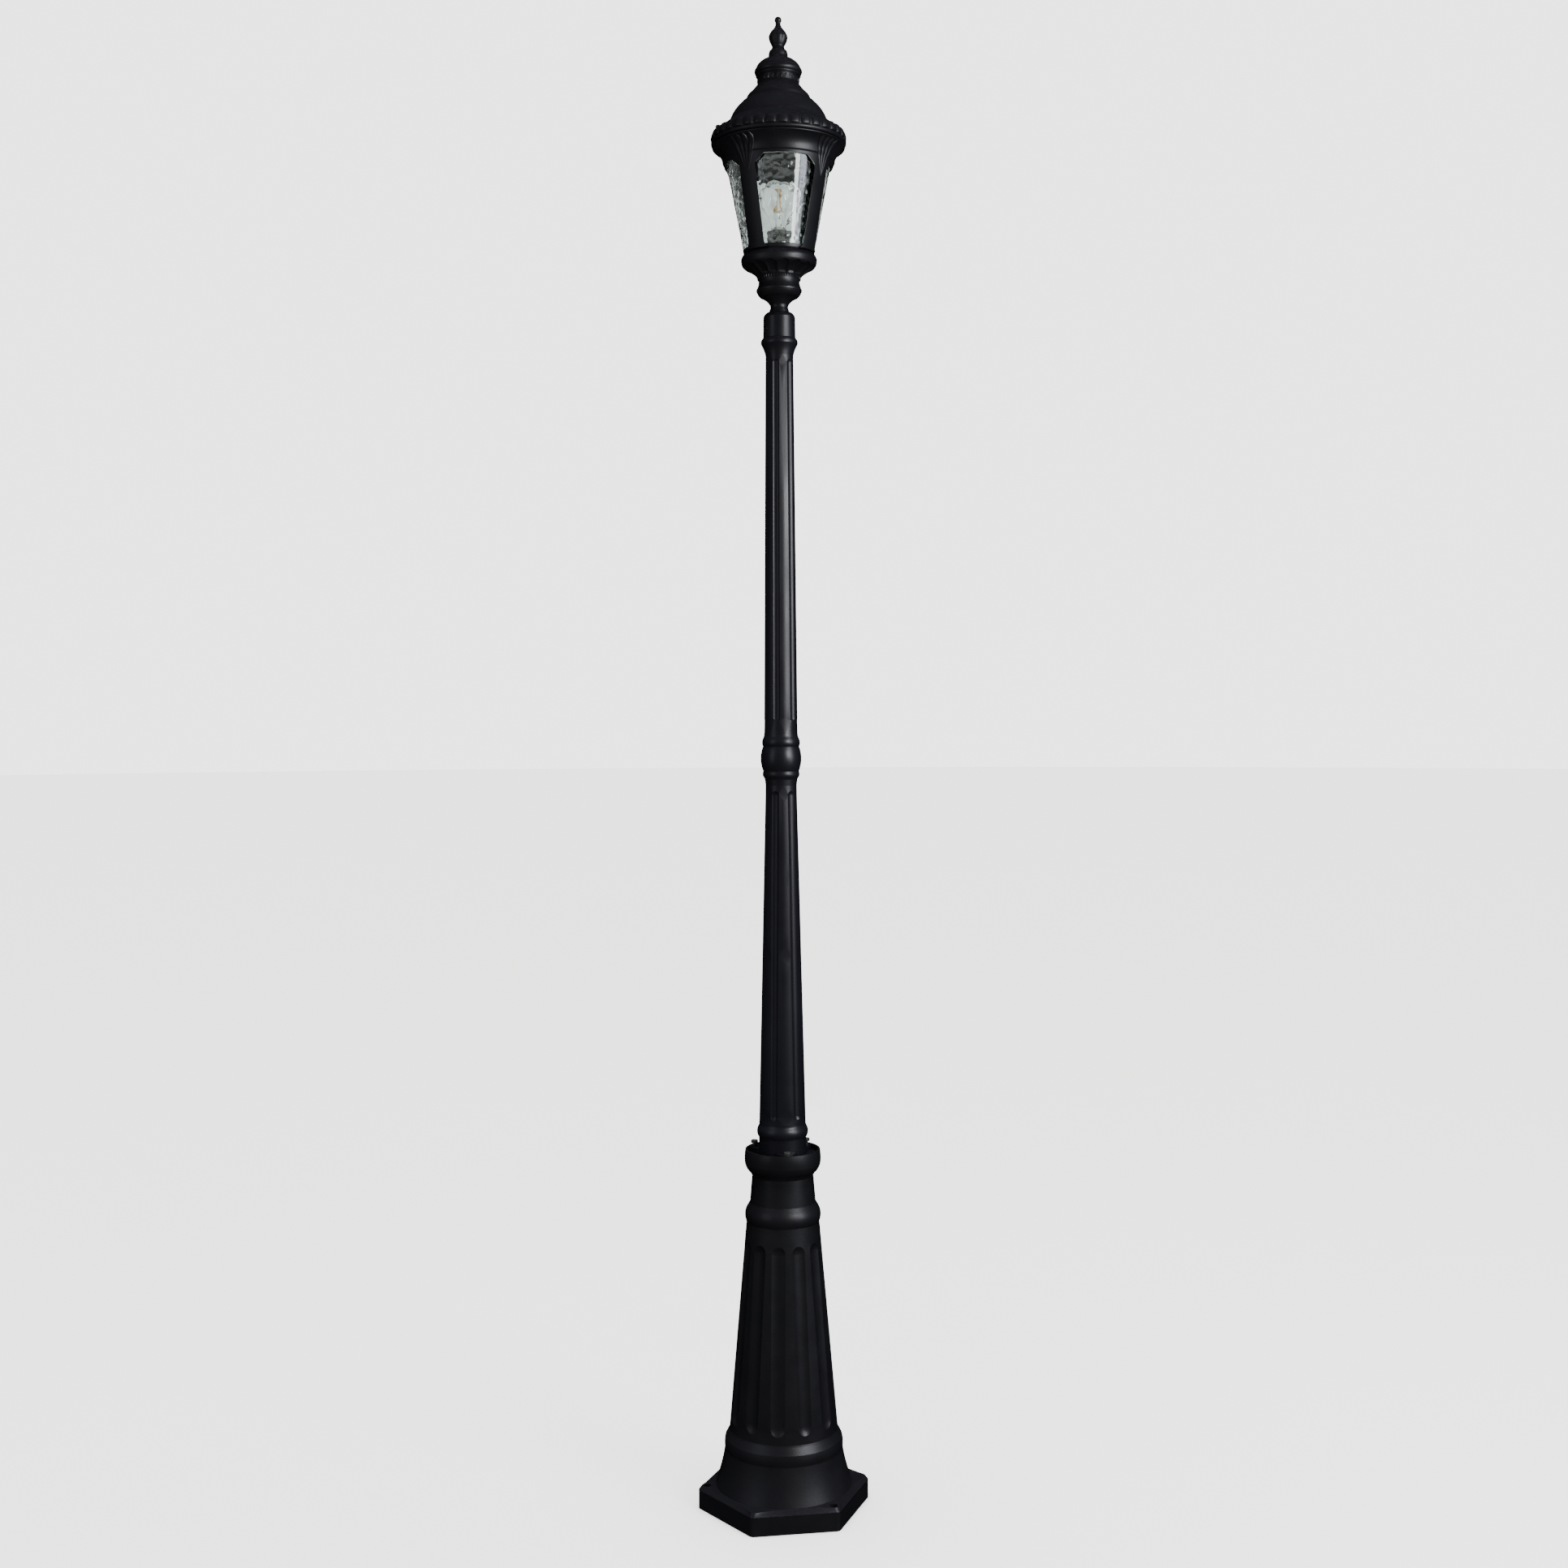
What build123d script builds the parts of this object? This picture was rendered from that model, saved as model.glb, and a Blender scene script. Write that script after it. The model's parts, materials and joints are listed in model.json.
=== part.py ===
from build123d import *
from math import acos, asin, atan, cos, degrees, radians, sin, sqrt
import os

# Garden post lamp: a hexagonal-footed pedestal, two fluted posts and a four-sided lantern.
# Millimetres. +Z is up, the axis of the lamp is Z, z = 0 is the ground, and -Y is the front.

os.makedirs("parts", exist_ok=True)

# ---------------------------------------------------------------- section heights, ground upwards
pedestal_height = 508.0
collar_height = 40.0
lower_post_height = 562.0
coupling_height = 60.0
upper_post_height = 631.0
fitter_height = 40.0
stem_height = 24.0
bowl_height = 66.0
cage_height = 166.0
gasket_thickness = 1.2
roof_height = 107.8
cap_height = 26.0
finial_height = 68.0

# ---------------------------------------------------------------- clearances and walls
thread_clearance = 0.05        # radial, between a screw thread and its tapped hole
slip_clearance = 0.10          # radial, between a spigot and the bore it slides into
bolt_clearance = 0.30          # radial, round a bolt or screw that passes through a plate
end_gap = 1.0                  # left at the end of a tenon or a blind hole
glass_gap = 0.30               # between a glass panel and the cage it leans on
pedestal_wall = 8.0
post_wall = 7.0
roof_wall = 4.0
cage_wall = 4.0
cable_bore_radius = 14.0       # clear way for the lead through the posts
collar_bore_radius = 26.0

# ---------------------------------------------------------------- foot and pedestal
foot_corner_radius = 133.6     # centre to a corner of the hexagon
foot_corner_rounding = 8.0
foot_side_height = 28.5        # upright part of each side
foot_height = 34.0             # level of the corner pads
foot_edge_setback = 2.5        # of the pad's edge behind a side, beside a corner
foot_arch_setback = 10.0       # of the pad's edge behind a side, at the middle of the side
bell_foot_radius = 105.5
bell_waist_radius = 91.0
bell_height = 89.0
pedestal_foot_radius = 83.6
pedestal_head_radius = 58.2
pedestal_cone_foot = 119.0     # height of the cone's foot
pedestal_cone_drop = 91.0      # from the pedestal's top down to the cone's head
pedestal_neck_radius = 47.4
anchor_count = 3
anchor_radius = 6.0

# ---------------------------------------------------------------- collar and its bolts
collar_spigot_radius = 38.0
collar_spigot_length = 30.0
flange_thickness = 8.0
flange_clearance = 0.3         # round the lobes of the flange in its recess
collar_rim_wall = 2.9
collar_belly = 1.9             # of the collar's widest part beyond its rim
flange_lobe_radius = 7.5
collar_bolt_circle = 47.0
collar_bolt_radius = 3.0
collar_bolt_length = 25.0
collar_bolt_head_radius = 5.5
collar_bolt_head_height = 4.5
collar_bolt_rise = [0.0, 5.0, 5.0]    # how far each head stands off the flange; the front one is home
collar_thread_depth = 20.0

# ---------------------------------------------------------------- posts and coupling
post_barrel_radius = 36.5
post_barrel_height = 20.0
lower_post_foot_radius = 35.9
lower_post_head_radius = 24.1
post_spigot_length = 12.0      # locating spigot below the flange
upper_post_foot_radius = 25.8
upper_post_head_radius = 21.5
post_thread_radius = 18.5
post_thread_length = 25.0
post_flute_count = 6
post_flute_depth = 2.4
post_flute_half_width = 6.5
upper_post_turn = 7.0          # how far round the upper post stopped when screwed home, degrees
pedestal_flute_count = 12
pedestal_flute_depth = 3.5
pedestal_flute_half_width = 12.0
coupling_belly_radius = 31.5

# ---------------------------------------------------------------- lantern fitter, stem and bowl
tenon_radius = 20.0
tenon_length = 30.0
fitter_wall = 4.9
set_screw_radius = 2.5
set_screw_drop = 25.0          # below the fitter's top
lamp_pipe_radius = 6.6
lamp_pipe_bore = 5.0
pipe_nut_flats = 19.0
pipe_nut_thickness = 6.0
bowl_floor_height = 39.0       # inside floor above the bowl's seat
bowl_bulge = 4.9               # of the bowl's rim beyond the lantern's foot
bowl_lip_width = 10.0
bowl_core_radius = 21.0

# ---------------------------------------------------------------- cage and glass
lantern_foot_radius = 54.0     # outside of the glass cone at the foot of the cage
lantern_head_radius = 86.0     # and at the head of the cage
cage_ring_height = 6.0
cage_post_width = 20.0
crown_height = 27.0
crown_flare = 17.0             # of the crown's rim beyond the lantern's head
crown_lap = 1.7                # of the crown inwards of the lantern's head
glass_thickness = 3.0
glass_top_drop = 24.0          # glass edge below the head of the cage
rib_width = 6.0
rib_side_gap = 1.0             # between a rib and the glass edge beside it
window_chamfer = 12.0
clip_lift = 0.9
clip_thickness = 1.5
clip_width = 18.0
clip_height = 14.0
clip_levels = [14.0, 134.0]    # above the foot of the cage
clip_screw_radius = 1.5
clip_grip = 5.0                # screw length beyond the rib's face
clip_screw_head_radius = 2.9
clip_screw_head_height = 2.0
cage_screw_radius = 2.0
cage_screw_inset = 4.5         # from the bowl's mouth to the screws
cage_screw_length = 14.0
cage_screw_head_radius = 3.2
cage_screw_head_height = 2.6

# ---------------------------------------------------------------- roof, cap and finial
roof_overhang = 2.5            # of the roof's rim beyond the crown
roof_lip_depth = 6.0           # register lip below the roof's rim
roof_lip_width = 3.0
roof_neck_radius = 32.5
roof_boss_height = 16.0
lid_clearance = 0.6            # radial, between the register lip and the crown's bore
roof_screw_inset = 9.0         # of the thumbscrews from the crown's rim
roof_screw_seat_rise = 24.5    # flat seat above the roof's rim face
roof_screw_radius = 2.0
roof_screw_grip = 4.0          # thread taken up in the crown
roof_screw_head_radius = 4.0
roof_screw_head_height = 6.0
tie_rod_radius = 4.0
tie_rod_nut_flats = 13.0
tie_rod_nut_thickness = 6.5
tie_rod_washer_radius = 12.0
tie_rod_washer_thickness = 1.6
tie_rod_in_finial = 20.0
finial_ball_radius = 5.4
gasket_inset = 2.7             # from the crown's bore to the gasket
gasket_width = 4.0

# ---------------------------------------------------------------- lampholder, lamp and wiring
holder_level = 63.0            # underside of the lampholder above the bowl's seat
holder_height = 38.0
holder_wall = 5.1
holder_base_thickness = 13.0
holder_shell_wall = 0.6
bulb_thread_gap = 0.2          # between the bulb's cap and the holder's shell
holder_shell_height = 20.0
contact_height = 2.0
contact_radius = 5.0
bulb_cap_radius = 13.1
bulb_cap_wall = 0.4
bulb_cap_height = 24.0
bulb_insulator_height = 3.0
bulb_tip_height = 1.2
bulb_radius = 30.0
bulb_length = 105.0            # tip of the contact to the top of the glass
bulb_wall = 1.0
filament_count = 4
filament_radius = 1.0
filament_length = 34.0
filament_foot_circle = 7.0
filament_head_circle = 4.0
filament_foot_rise = 26.0      # above the bulb's cap
flex_radius = 3.2
block_width = 44.0
block_depth = 30.0
block_height = 26.0
bracket_width = 28.0
bracket_thickness = 3.0
bracket_drop = 90.0
bracket_flange = 10.5
bracket_screw_radius = 2.0
bracket_screw_length = 12.0
bracket_screw_reach = 31.0
bracket_screw_offsets = [-8.0, 8.0]
block_screw_radius = 1.5
block_screw_offsets = [-7.0, 7.0]
terminal_screw_radius = 2.0
terminal_screw_length = 8.0
terminal_offsets = [-14.0, 0.0, 14.0]
earth_screw_radius = 2.5
block_drop = 44.0              # of the terminal block's top below the bracket's
flex_entry = 10.0              # depth of the lead in the terminal block
block_screw_rise = 7.0         # above the foot of the terminal block
terminal_rise = 12.0           # of the terminal screws above the foot of the block
earth_rise = 9.0               # of the earth screw above the foot of the bracket

# ---------------------------------------------------------------- levels worked out from the heights
z_collar = pedestal_height
z_rim = z_collar + collar_height
z_coupling = z_rim + lower_post_height
z_upper = z_coupling + coupling_height
z_fitter = z_upper + upper_post_height
z_stem = z_fitter + fitter_height
z_bowl = z_stem + stem_height
z_cage = z_bowl + bowl_height
z_gasket = z_cage + cage_height
z_roof = z_gasket + gasket_thickness
z_cap = z_roof + roof_height
z_finial = z_cap + cap_height
z_top = z_finial + finial_height
z_flange = z_rim - flange_thickness
z_glass_foot = z_cage + cage_ring_height
z_glass_top = z_gasket - glass_top_drop
z_holder = z_bowl + holder_level
z_holder_floor = z_holder + holder_base_thickness
z_bulb = z_holder_floor + contact_height
z_web = z_fitter + tenon_length + end_gap

lantern_slope = (lantern_head_radius - lantern_foot_radius) / cage_height
lantern_lean = atan(lantern_slope)
foot_apothem = foot_corner_radius * cos(radians(30))
anchor_circle_radius = (foot_corner_radius + bell_foot_radius) / 2 - 0.05
flange_recess_radius = collar_bolt_circle + flange_lobe_radius + flange_clearance
collar_rim_radius = flange_recess_radius + collar_rim_wall
collar_widest_radius = collar_rim_radius + collar_belly
fitter_radius = tenon_radius + slip_clearance + fitter_wall
bowl_rim_radius = lantern_foot_radius + bowl_bulge
bowl_mouth_radius = lantern_foot_radius - bowl_lip_width
cage_screw_circle = bowl_mouth_radius + cage_screw_inset
crown_radius = lantern_head_radius + crown_flare
crown_bore_radius = lantern_head_radius - crown_lap
roof_rim_radius = crown_radius + roof_overhang
roof_screw_circle = crown_radius - roof_screw_inset
gasket_inner_radius = crown_bore_radius + gasket_inset
gasket_outer_radius = gasket_inner_radius + gasket_width
shell_bore = bulb_cap_radius + bulb_thread_gap
shell_radius = shell_bore + holder_shell_wall
holder_radius = shell_radius + holder_wall
filament_foot = z_bulb + bulb_tip_height + bulb_insulator_height + bulb_cap_height + filament_foot_rise

STAND = (Align.CENTER, Align.CENTER, Align.MIN)
HANG = (Align.CENTER, Align.CENTER, Align.MAX)


def glass_radius(z):
    """Outside radius of the glass cone at height z."""
    return lantern_foot_radius + (z - z_cage) * lantern_slope


def turned(stations, mode=Mode.ADD):
    """Revolve a closed section; a station is (radius, height, outward bow of the edge it starts)."""
    with BuildSketch(Plane.XZ) as section:
        with BuildLine():
            for here, there in zip(stations, stations[1:] + stations[:1]):
                if here[2] == 0:
                    Line(here[:2], there[:2])
                else:
                    SagittaArc(here[:2], there[:2], -here[2])
        make_face()
    revolve(section.sketch, axis=Axis.Z, mode=mode)


def save(piece, label):
    """Label a finished piece and write its STEP file."""
    piece.part.label = label
    export_step(piece.part, f"parts/{label}.step")


def flute_cutter(low, high, half_width, depth):
    """Round-ended groove cutter on the +X side; low and high are (surface radius, height) of its ends."""
    groove_radius = (half_width**2 + depth**2) / (2 * depth)
    sunk = groove_radius - depth
    run = Vector(high[0] - low[0], 0, high[1] - low[1]).normalized()
    foot = Vector(low[0] + sunk, 0, low[1]) + run * half_width
    head = Vector(high[0] + sunk, 0, high[1]) - run * half_width
    with BuildPart() as cutter:
        with BuildSketch(Plane(origin=foot, x_dir=(0, 1, 0), z_dir=run)):
            Circle(groove_radius)
        extrude(amount=(head - foot).length)
        with Locations(foot, head):
            Sphere(groove_radius)
    return cutter.part


def bow_of(radius, sweep):
    """Bow of an arc of this radius that turns through this many degrees."""
    return radius * (1 - cos(radians(sweep / 2)))


def screw_hole(plane, radius, length):
    """Round bar that starts on a plane and runs along its normal."""
    with BuildPart() as bar:
        with BuildSketch(plane):
            Circle(radius)
        extrude(amount=length)
    return bar.part


def post_rib_face(z):
    """Radius of a cage rib's inner face at height z."""
    return glass_radius(z) - glass_thickness - clip_lift


def clip_plane(z):
    """Plane on a rib's inner face, looking outwards along the clip screw."""
    outward = (cos(lantern_lean), 0, -sin(lantern_lean))
    return Plane(origin=(post_rib_face(z), 0, z), x_dir=(0, 1, 0), z_dir=outward)


# ================================================================ pedestal
cone_head = z_collar - pedestal_cone_drop
spigot_floor = z_collar - collar_spigot_length
spigot_bore_radius = collar_spigot_radius + thread_clearance
pedestal_flute = flute_cutter(
    low=(pedestal_foot_radius - 1.2, pedestal_cone_foot + 14),
    high=(pedestal_head_radius + 0.4, cone_head - 5),
    half_width=pedestal_flute_half_width,
    depth=pedestal_flute_depth,
)
with BuildPart() as pedestal:
    with BuildSketch():
        RegularPolygon(foot_corner_radius, 6)
        fillet(vertices(), foot_corner_rounding)
    extrude(amount=foot_side_height)
    # The upper edge of each side is dished back in an arch, and the corners stay as flat pads.
    with BuildSketch(Plane.XY.offset(foot_side_height)):
        RegularPolygon(foot_corner_radius, 6)
        fillet(vertices(), foot_corner_rounding)
    with BuildSketch(Plane.XY.offset(foot_height)):
        with BuildLine():
            pad_corner = foot_corner_radius - foot_edge_setback / cos(radians(30))
            pad_middle = foot_apothem - foot_arch_setback
            for side in range(6):
                first = radians(60 * side)
                middle = radians(60 * side + 30)
                last = radians(60 * side + 60)
                ThreePointArc(
                    (pad_corner * cos(first), pad_corner * sin(first)),
                    (pad_middle * cos(middle), pad_middle * sin(middle)),
                    (pad_corner * cos(last), pad_corner * sin(last)),
                )
        make_face()
        fillet(vertices(), foot_corner_rounding)
    loft()
    turned([
        (0, 0, 0),
        (bell_foot_radius, 0, 0),
        (bell_foot_radius, foot_height, -1.6),
        (bell_waist_radius, bell_height, 0.9),
        (bell_waist_radius - 0.8, bell_height + 17, 0),
        (pedestal_foot_radius + 1.0, pedestal_cone_foot - 2.5, 0),
        (pedestal_foot_radius, pedestal_cone_foot, 0),
        (pedestal_head_radius, cone_head, 0),
        (pedestal_head_radius - 1.8, cone_head + 20, 3.4),
        (pedestal_head_radius - 4.2, cone_head + 45, 0),
        (pedestal_neck_radius + 3.5, cone_head + 50, 0),
        (pedestal_neck_radius, z_collar, 0),
        (0, z_collar, 0),
    ])
    turned([
        (0, -1, 0),
        (bell_foot_radius - pedestal_wall, -1, 0),
        (bell_foot_radius - pedestal_wall, foot_height, 0),
        (bell_waist_radius - pedestal_wall, bell_height, 0),
        (pedestal_foot_radius - pedestal_wall, pedestal_cone_foot, 0),
        (pedestal_head_radius - pedestal_wall, cone_head, 0),
        (pedestal_neck_radius - pedestal_wall, spigot_floor - 8, 0),
        (spigot_bore_radius, spigot_floor - 4, 0),
        (spigot_bore_radius, z_collar + 1, 0),
        (0, z_collar + 1, 0),
    ], mode=Mode.SUBTRACT)
    with PolarLocations(anchor_circle_radius, anchor_count, start_angle=60):
        Hole(anchor_radius)
    with PolarLocations(0, pedestal_flute_count, start_angle=15):
        add(pedestal_flute, mode=Mode.SUBTRACT)
save(pedestal, "pedestal")

# ================================================================ pedestal collar
with BuildPart() as pedestal_collar:
    turned([
        (collar_bore_radius, spigot_floor, 0),
        (collar_spigot_radius, spigot_floor, 0),
        (collar_spigot_radius, z_collar, 0),
        (pedestal_neck_radius, z_collar, 0),
        (pedestal_neck_radius + 3, z_collar + 5, 1.4),
        (collar_widest_radius - 1, z_collar + 19, 0.8),
        (collar_rim_radius, z_rim, 0),
        (flange_recess_radius, z_rim, 0),
        (flange_recess_radius, z_flange, 0),
        (collar_bore_radius, z_flange, 0),
    ])
    with Locations((0, 0, z_flange)), PolarLocations(collar_bolt_circle, 3, start_angle=-90):
        Hole(collar_bolt_radius + thread_clearance, depth=collar_thread_depth)
    for x in bracket_screw_offsets:
        with Locations((x, bracket_screw_reach, spigot_floor)):
            Hole(bracket_screw_radius + thread_clearance, depth=bracket_screw_length)
save(pedestal_collar, "pedestal_collar")

# ================================================================ collar bolts
with BuildPart() as collar_bolts:
    for bolt, rise in enumerate(collar_bolt_rise):
        bolt_angle = radians(120 * bolt - 90)
        seat = (collar_bolt_circle * cos(bolt_angle), collar_bolt_circle * sin(bolt_angle), z_rim + rise)
        with Locations(seat):
            Cylinder(collar_bolt_radius, collar_bolt_length, align=HANG)
            Cylinder(collar_bolt_head_radius, collar_bolt_head_height, align=STAND)
    head_levels = [z_rim + rise + collar_bolt_head_height for rise in collar_bolt_rise]
    head_rims = [
        edge for edge in collar_bolts.edges().filter_by(GeomType.CIRCLE)
        if any(abs(edge.center().Z - level) < 1e-3 for level in head_levels)
    ]
    fillet(head_rims, 1.2)
save(collar_bolts, "collar_bolts")

# ================================================================ lower post
lower_cone_foot = z_rim + post_barrel_height + 22
lower_flute = flute_cutter(
    low=(lower_post_foot_radius, lower_cone_foot + 7),
    high=(lower_post_head_radius, z_coupling - 8),
    half_width=post_flute_half_width,
    depth=post_flute_depth,
)
with BuildPart() as lower_post:
    turned([
        (0, z_flange - post_spigot_length, 0),
        (collar_bore_radius - slip_clearance, z_flange - post_spigot_length, 0),
        (collar_bore_radius - slip_clearance, z_flange, 0),
        (post_barrel_radius, z_flange, 0),
        (post_barrel_radius, z_rim + post_barrel_height, 0),
        (post_barrel_radius + 1, z_rim + post_barrel_height, 1.9),
        (post_barrel_radius + 1.3, z_rim + post_barrel_height + 15, -0.6),
        (lower_post_foot_radius, lower_cone_foot, 0),
        (lower_post_head_radius, z_coupling, 0),
        (post_thread_radius, z_coupling, 0),
        (post_thread_radius, z_coupling + post_thread_length, 0),
        (0, z_coupling + post_thread_length, 0),
    ])
    # Three-pointed flange: the hull of three lobes.
    with BuildSketch(Plane.XY.offset(z_flange)) as flange:
        with PolarLocations(collar_bolt_circle, 3, start_angle=-90):
            Circle(flange_lobe_radius)
        make_hull()
        Circle(post_barrel_radius)
    extrude(amount=flange_thickness)
    turned([
        (0, z_flange - post_spigot_length - 1, 0),
        (collar_bore_radius - slip_clearance - post_wall, z_flange - post_spigot_length - 1, 0),
        (collar_bore_radius - slip_clearance - post_wall, z_rim + 8, 0),
        (lower_post_foot_radius - post_wall, lower_cone_foot, 0),
        (cable_bore_radius, z_coupling - 20, 0),
        (cable_bore_radius, z_coupling + post_thread_length + 1, 0),
        (0, z_coupling + post_thread_length + 1, 0),
    ], mode=Mode.SUBTRACT)
    with Locations((0, 0, z_rim)), PolarLocations(collar_bolt_circle, 3, start_angle=-90):
        Hole(collar_bolt_radius + bolt_clearance, depth=flange_thickness + 1)
    with PolarLocations(0, post_flute_count):
        add(lower_flute, mode=Mode.SUBTRACT)
save(lower_post, "lower_post")

# ================================================================ coupling ball
coupling_thread = post_thread_radius + thread_clearance
belly_bow = coupling_belly_radius - lower_post_head_radius - 3.7
with BuildPart() as coupling_ball:
    turned([
        (coupling_thread, z_coupling, 0),
        (lower_post_head_radius, z_coupling, 0),
        (lower_post_head_radius + 1.1, z_coupling + 9, -0.3),
        (lower_post_head_radius + 3.9, z_coupling + 14, 0.7),
        (lower_post_head_radius + 3.5, z_coupling + 22, belly_bow),
        (upper_post_foot_radius + 2.2, z_upper, 0),
        (coupling_thread, z_upper, 0),
        (coupling_thread, z_upper - post_thread_length - end_gap, 0),
        (cable_bore_radius, z_upper - post_thread_length - end_gap, 0),
        (cable_bore_radius, z_coupling + post_thread_length + end_gap, 0),
        (coupling_thread, z_coupling + post_thread_length + end_gap, 0),
    ])
save(coupling_ball, "coupling_ball")

# ================================================================ upper post
upper_cone_foot = z_upper + 23
upper_cone_head = z_fitter - 27
upper_flute = flute_cutter(
    low=(upper_post_foot_radius, upper_cone_foot + 16),
    high=(upper_post_head_radius, upper_cone_head - 7),
    half_width=post_flute_half_width - 0.8,
    depth=post_flute_depth,
)
with BuildPart() as upper_post:
    turned([
        (cable_bore_radius, z_upper - post_thread_length, 0),
        (post_thread_radius, z_upper - post_thread_length, 0),
        (post_thread_radius, z_upper, 0),
        (upper_post_foot_radius + 2.2, z_upper, 1.3),
        (upper_post_foot_radius + 2.4, z_upper + 12, -0.5),
        (upper_post_foot_radius + 0.2, z_upper + 20, 0),
        (upper_post_foot_radius, upper_cone_foot, 0),
        (upper_post_head_radius, upper_cone_head, -0.9),
        (upper_post_head_radius + 6.8, z_fitter - 9, 0.8),
        (upper_post_head_radius + 5.9, z_fitter - 2, 0),
        (upper_post_head_radius + 4.5, z_fitter, 0),
        (tenon_radius, z_fitter, 0),
        (tenon_radius, z_fitter + tenon_length, 0),
        (cable_bore_radius, z_fitter + tenon_length, 0),
    ])
    with PolarLocations(0, post_flute_count, start_angle=upper_post_turn):
        add(upper_flute, mode=Mode.SUBTRACT)
save(upper_post, "upper_post")

# ================================================================ lantern fitter and its set screws
set_screw_level = z_stem - set_screw_drop
set_screw_plane = Plane(origin=(tenon_radius, 0, set_screw_level), x_dir=(0, 1, 0), z_dir=(1, 0, 0))
set_screw_length = fitter_radius - tenon_radius - 0.8
set_screw_hole = screw_hole(set_screw_plane, set_screw_radius + thread_clearance, fitter_radius)
with BuildPart() as lantern_fitter:
    turned([
        (tenon_radius + slip_clearance, z_fitter, 0),
        (fitter_radius, z_fitter, 0),
        (fitter_radius - 0.4, z_stem - 7.5, 1.1),
        (fitter_radius - 6.5, z_stem, 0),
        (lamp_pipe_radius + thread_clearance, z_stem, 0),
        (lamp_pipe_radius + thread_clearance, z_web, 0),
        (tenon_radius + slip_clearance, z_web, 0),
    ])
    with PolarLocations(0, 3, start_angle=90):
        add(set_screw_hole, mode=Mode.SUBTRACT)
save(lantern_fitter, "lantern_fitter")

with BuildPart() as set_screw:
    with BuildSketch(set_screw_plane):
        Circle(set_screw_radius)
    extrude(amount=set_screw_length)
    with BuildSketch(set_screw_plane.offset(set_screw_length)):
        RegularPolygon(set_screw_radius / 2, 6, major_radius=False)
    extrude(amount=-set_screw_radius, mode=Mode.SUBTRACT)
with BuildPart() as fitter_set_screws:
    with PolarLocations(0, 3, start_angle=90):
        add(set_screw.part)
save(fitter_set_screws, "fitter_set_screws")

# ================================================================ stem
with BuildPart() as lantern_stem:
    turned([
        (lamp_pipe_radius + slip_clearance, z_stem, 0),
        (16, z_stem, 0),
        (15, z_stem + 4, -0.9),
        (14.5, z_stem + 12, -1.5),
        (29.3, z_bowl, 0),
        (lamp_pipe_radius + slip_clearance, z_bowl, 0),
    ])
save(lantern_stem, "lantern_stem")

# ================================================================ bowl
bowl_floor = z_bowl + bowl_floor_height
with BuildPart() as lantern_bowl:
    turned([
        (bowl_core_radius, z_bowl, 0),
        (29.3, z_bowl, 0.6),
        (34.6, z_bowl + 7.5, 1.0),
        (34.2, z_bowl + 13, 0),
        (32.8, z_bowl + 17, -1.5),
        (33.6, z_bowl + 30, -1.5),
        (bowl_rim_radius - 7, z_cage - 22, 1.4),
        (bowl_rim_radius - 0.6, z_cage - 14, 0.2),
        (bowl_rim_radius, z_cage - 9, 0.8),
        (lantern_foot_radius, z_cage, 0),
        (bowl_mouth_radius, z_cage, 0),
        (bowl_mouth_radius, z_cage - 16, 0),
        (bowl_mouth_radius - 14, bowl_floor, 0),
        (lamp_pipe_radius + slip_clearance, bowl_floor, 0),
        (lamp_pipe_radius + slip_clearance, bowl_floor - 8, 0),
        (bowl_core_radius, bowl_floor - 20, 0),
    ])
    with Locations((0, 0, z_cage)), PolarLocations(cage_screw_circle, 4):
        Hole(cage_screw_radius + thread_clearance, depth=cage_screw_length - cage_ring_height + end_gap)
save(lantern_bowl, "lantern_bowl")

# ================================================================ cage
cage_inner_foot = lantern_foot_radius + glass_gap
bore_start = z_cage + (crown_bore_radius - cage_inner_foot) / lantern_slope
z_crown = z_gasket - crown_height
window_foot = (lantern_foot_radius + cage_wall) * sin(radians(45)) - cage_post_width / 2
window_head = glass_radius(z_crown) * sin(radians(45)) - cage_post_width / 2
reach = crown_radius + 20
with BuildPart() as window_cutter:
    with BuildSketch(Plane.XZ.offset(window_foot / 2)):
        with BuildLine():
            Polyline(
                (-window_foot, z_cage - 1),
                (window_foot, z_cage - 1),
                (window_head, z_crown - 4 - window_chamfer),
                (window_head - window_chamfer, z_crown - 4),
                (window_chamfer - window_head, z_crown - 4),
                (-window_head, z_crown - 4 - window_chamfer),
                close=True,
            )
        make_face()
    extrude(amount=reach)
with BuildPart() as post_rib:
    with BuildSketch(Plane.XZ):
        with BuildLine():
            Polyline(
                (post_rib_face(z_cage + 1), z_cage + 1),
                (glass_radius(z_cage + 1) + 1, z_cage + 1),
                (glass_radius(z_gasket - 16) + 1, z_gasket - 16),
                (post_rib_face(z_gasket - 16), z_gasket - 16),
                close=True,
            )
        make_face()
    extrude(amount=rib_width / 2, both=True)
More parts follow.
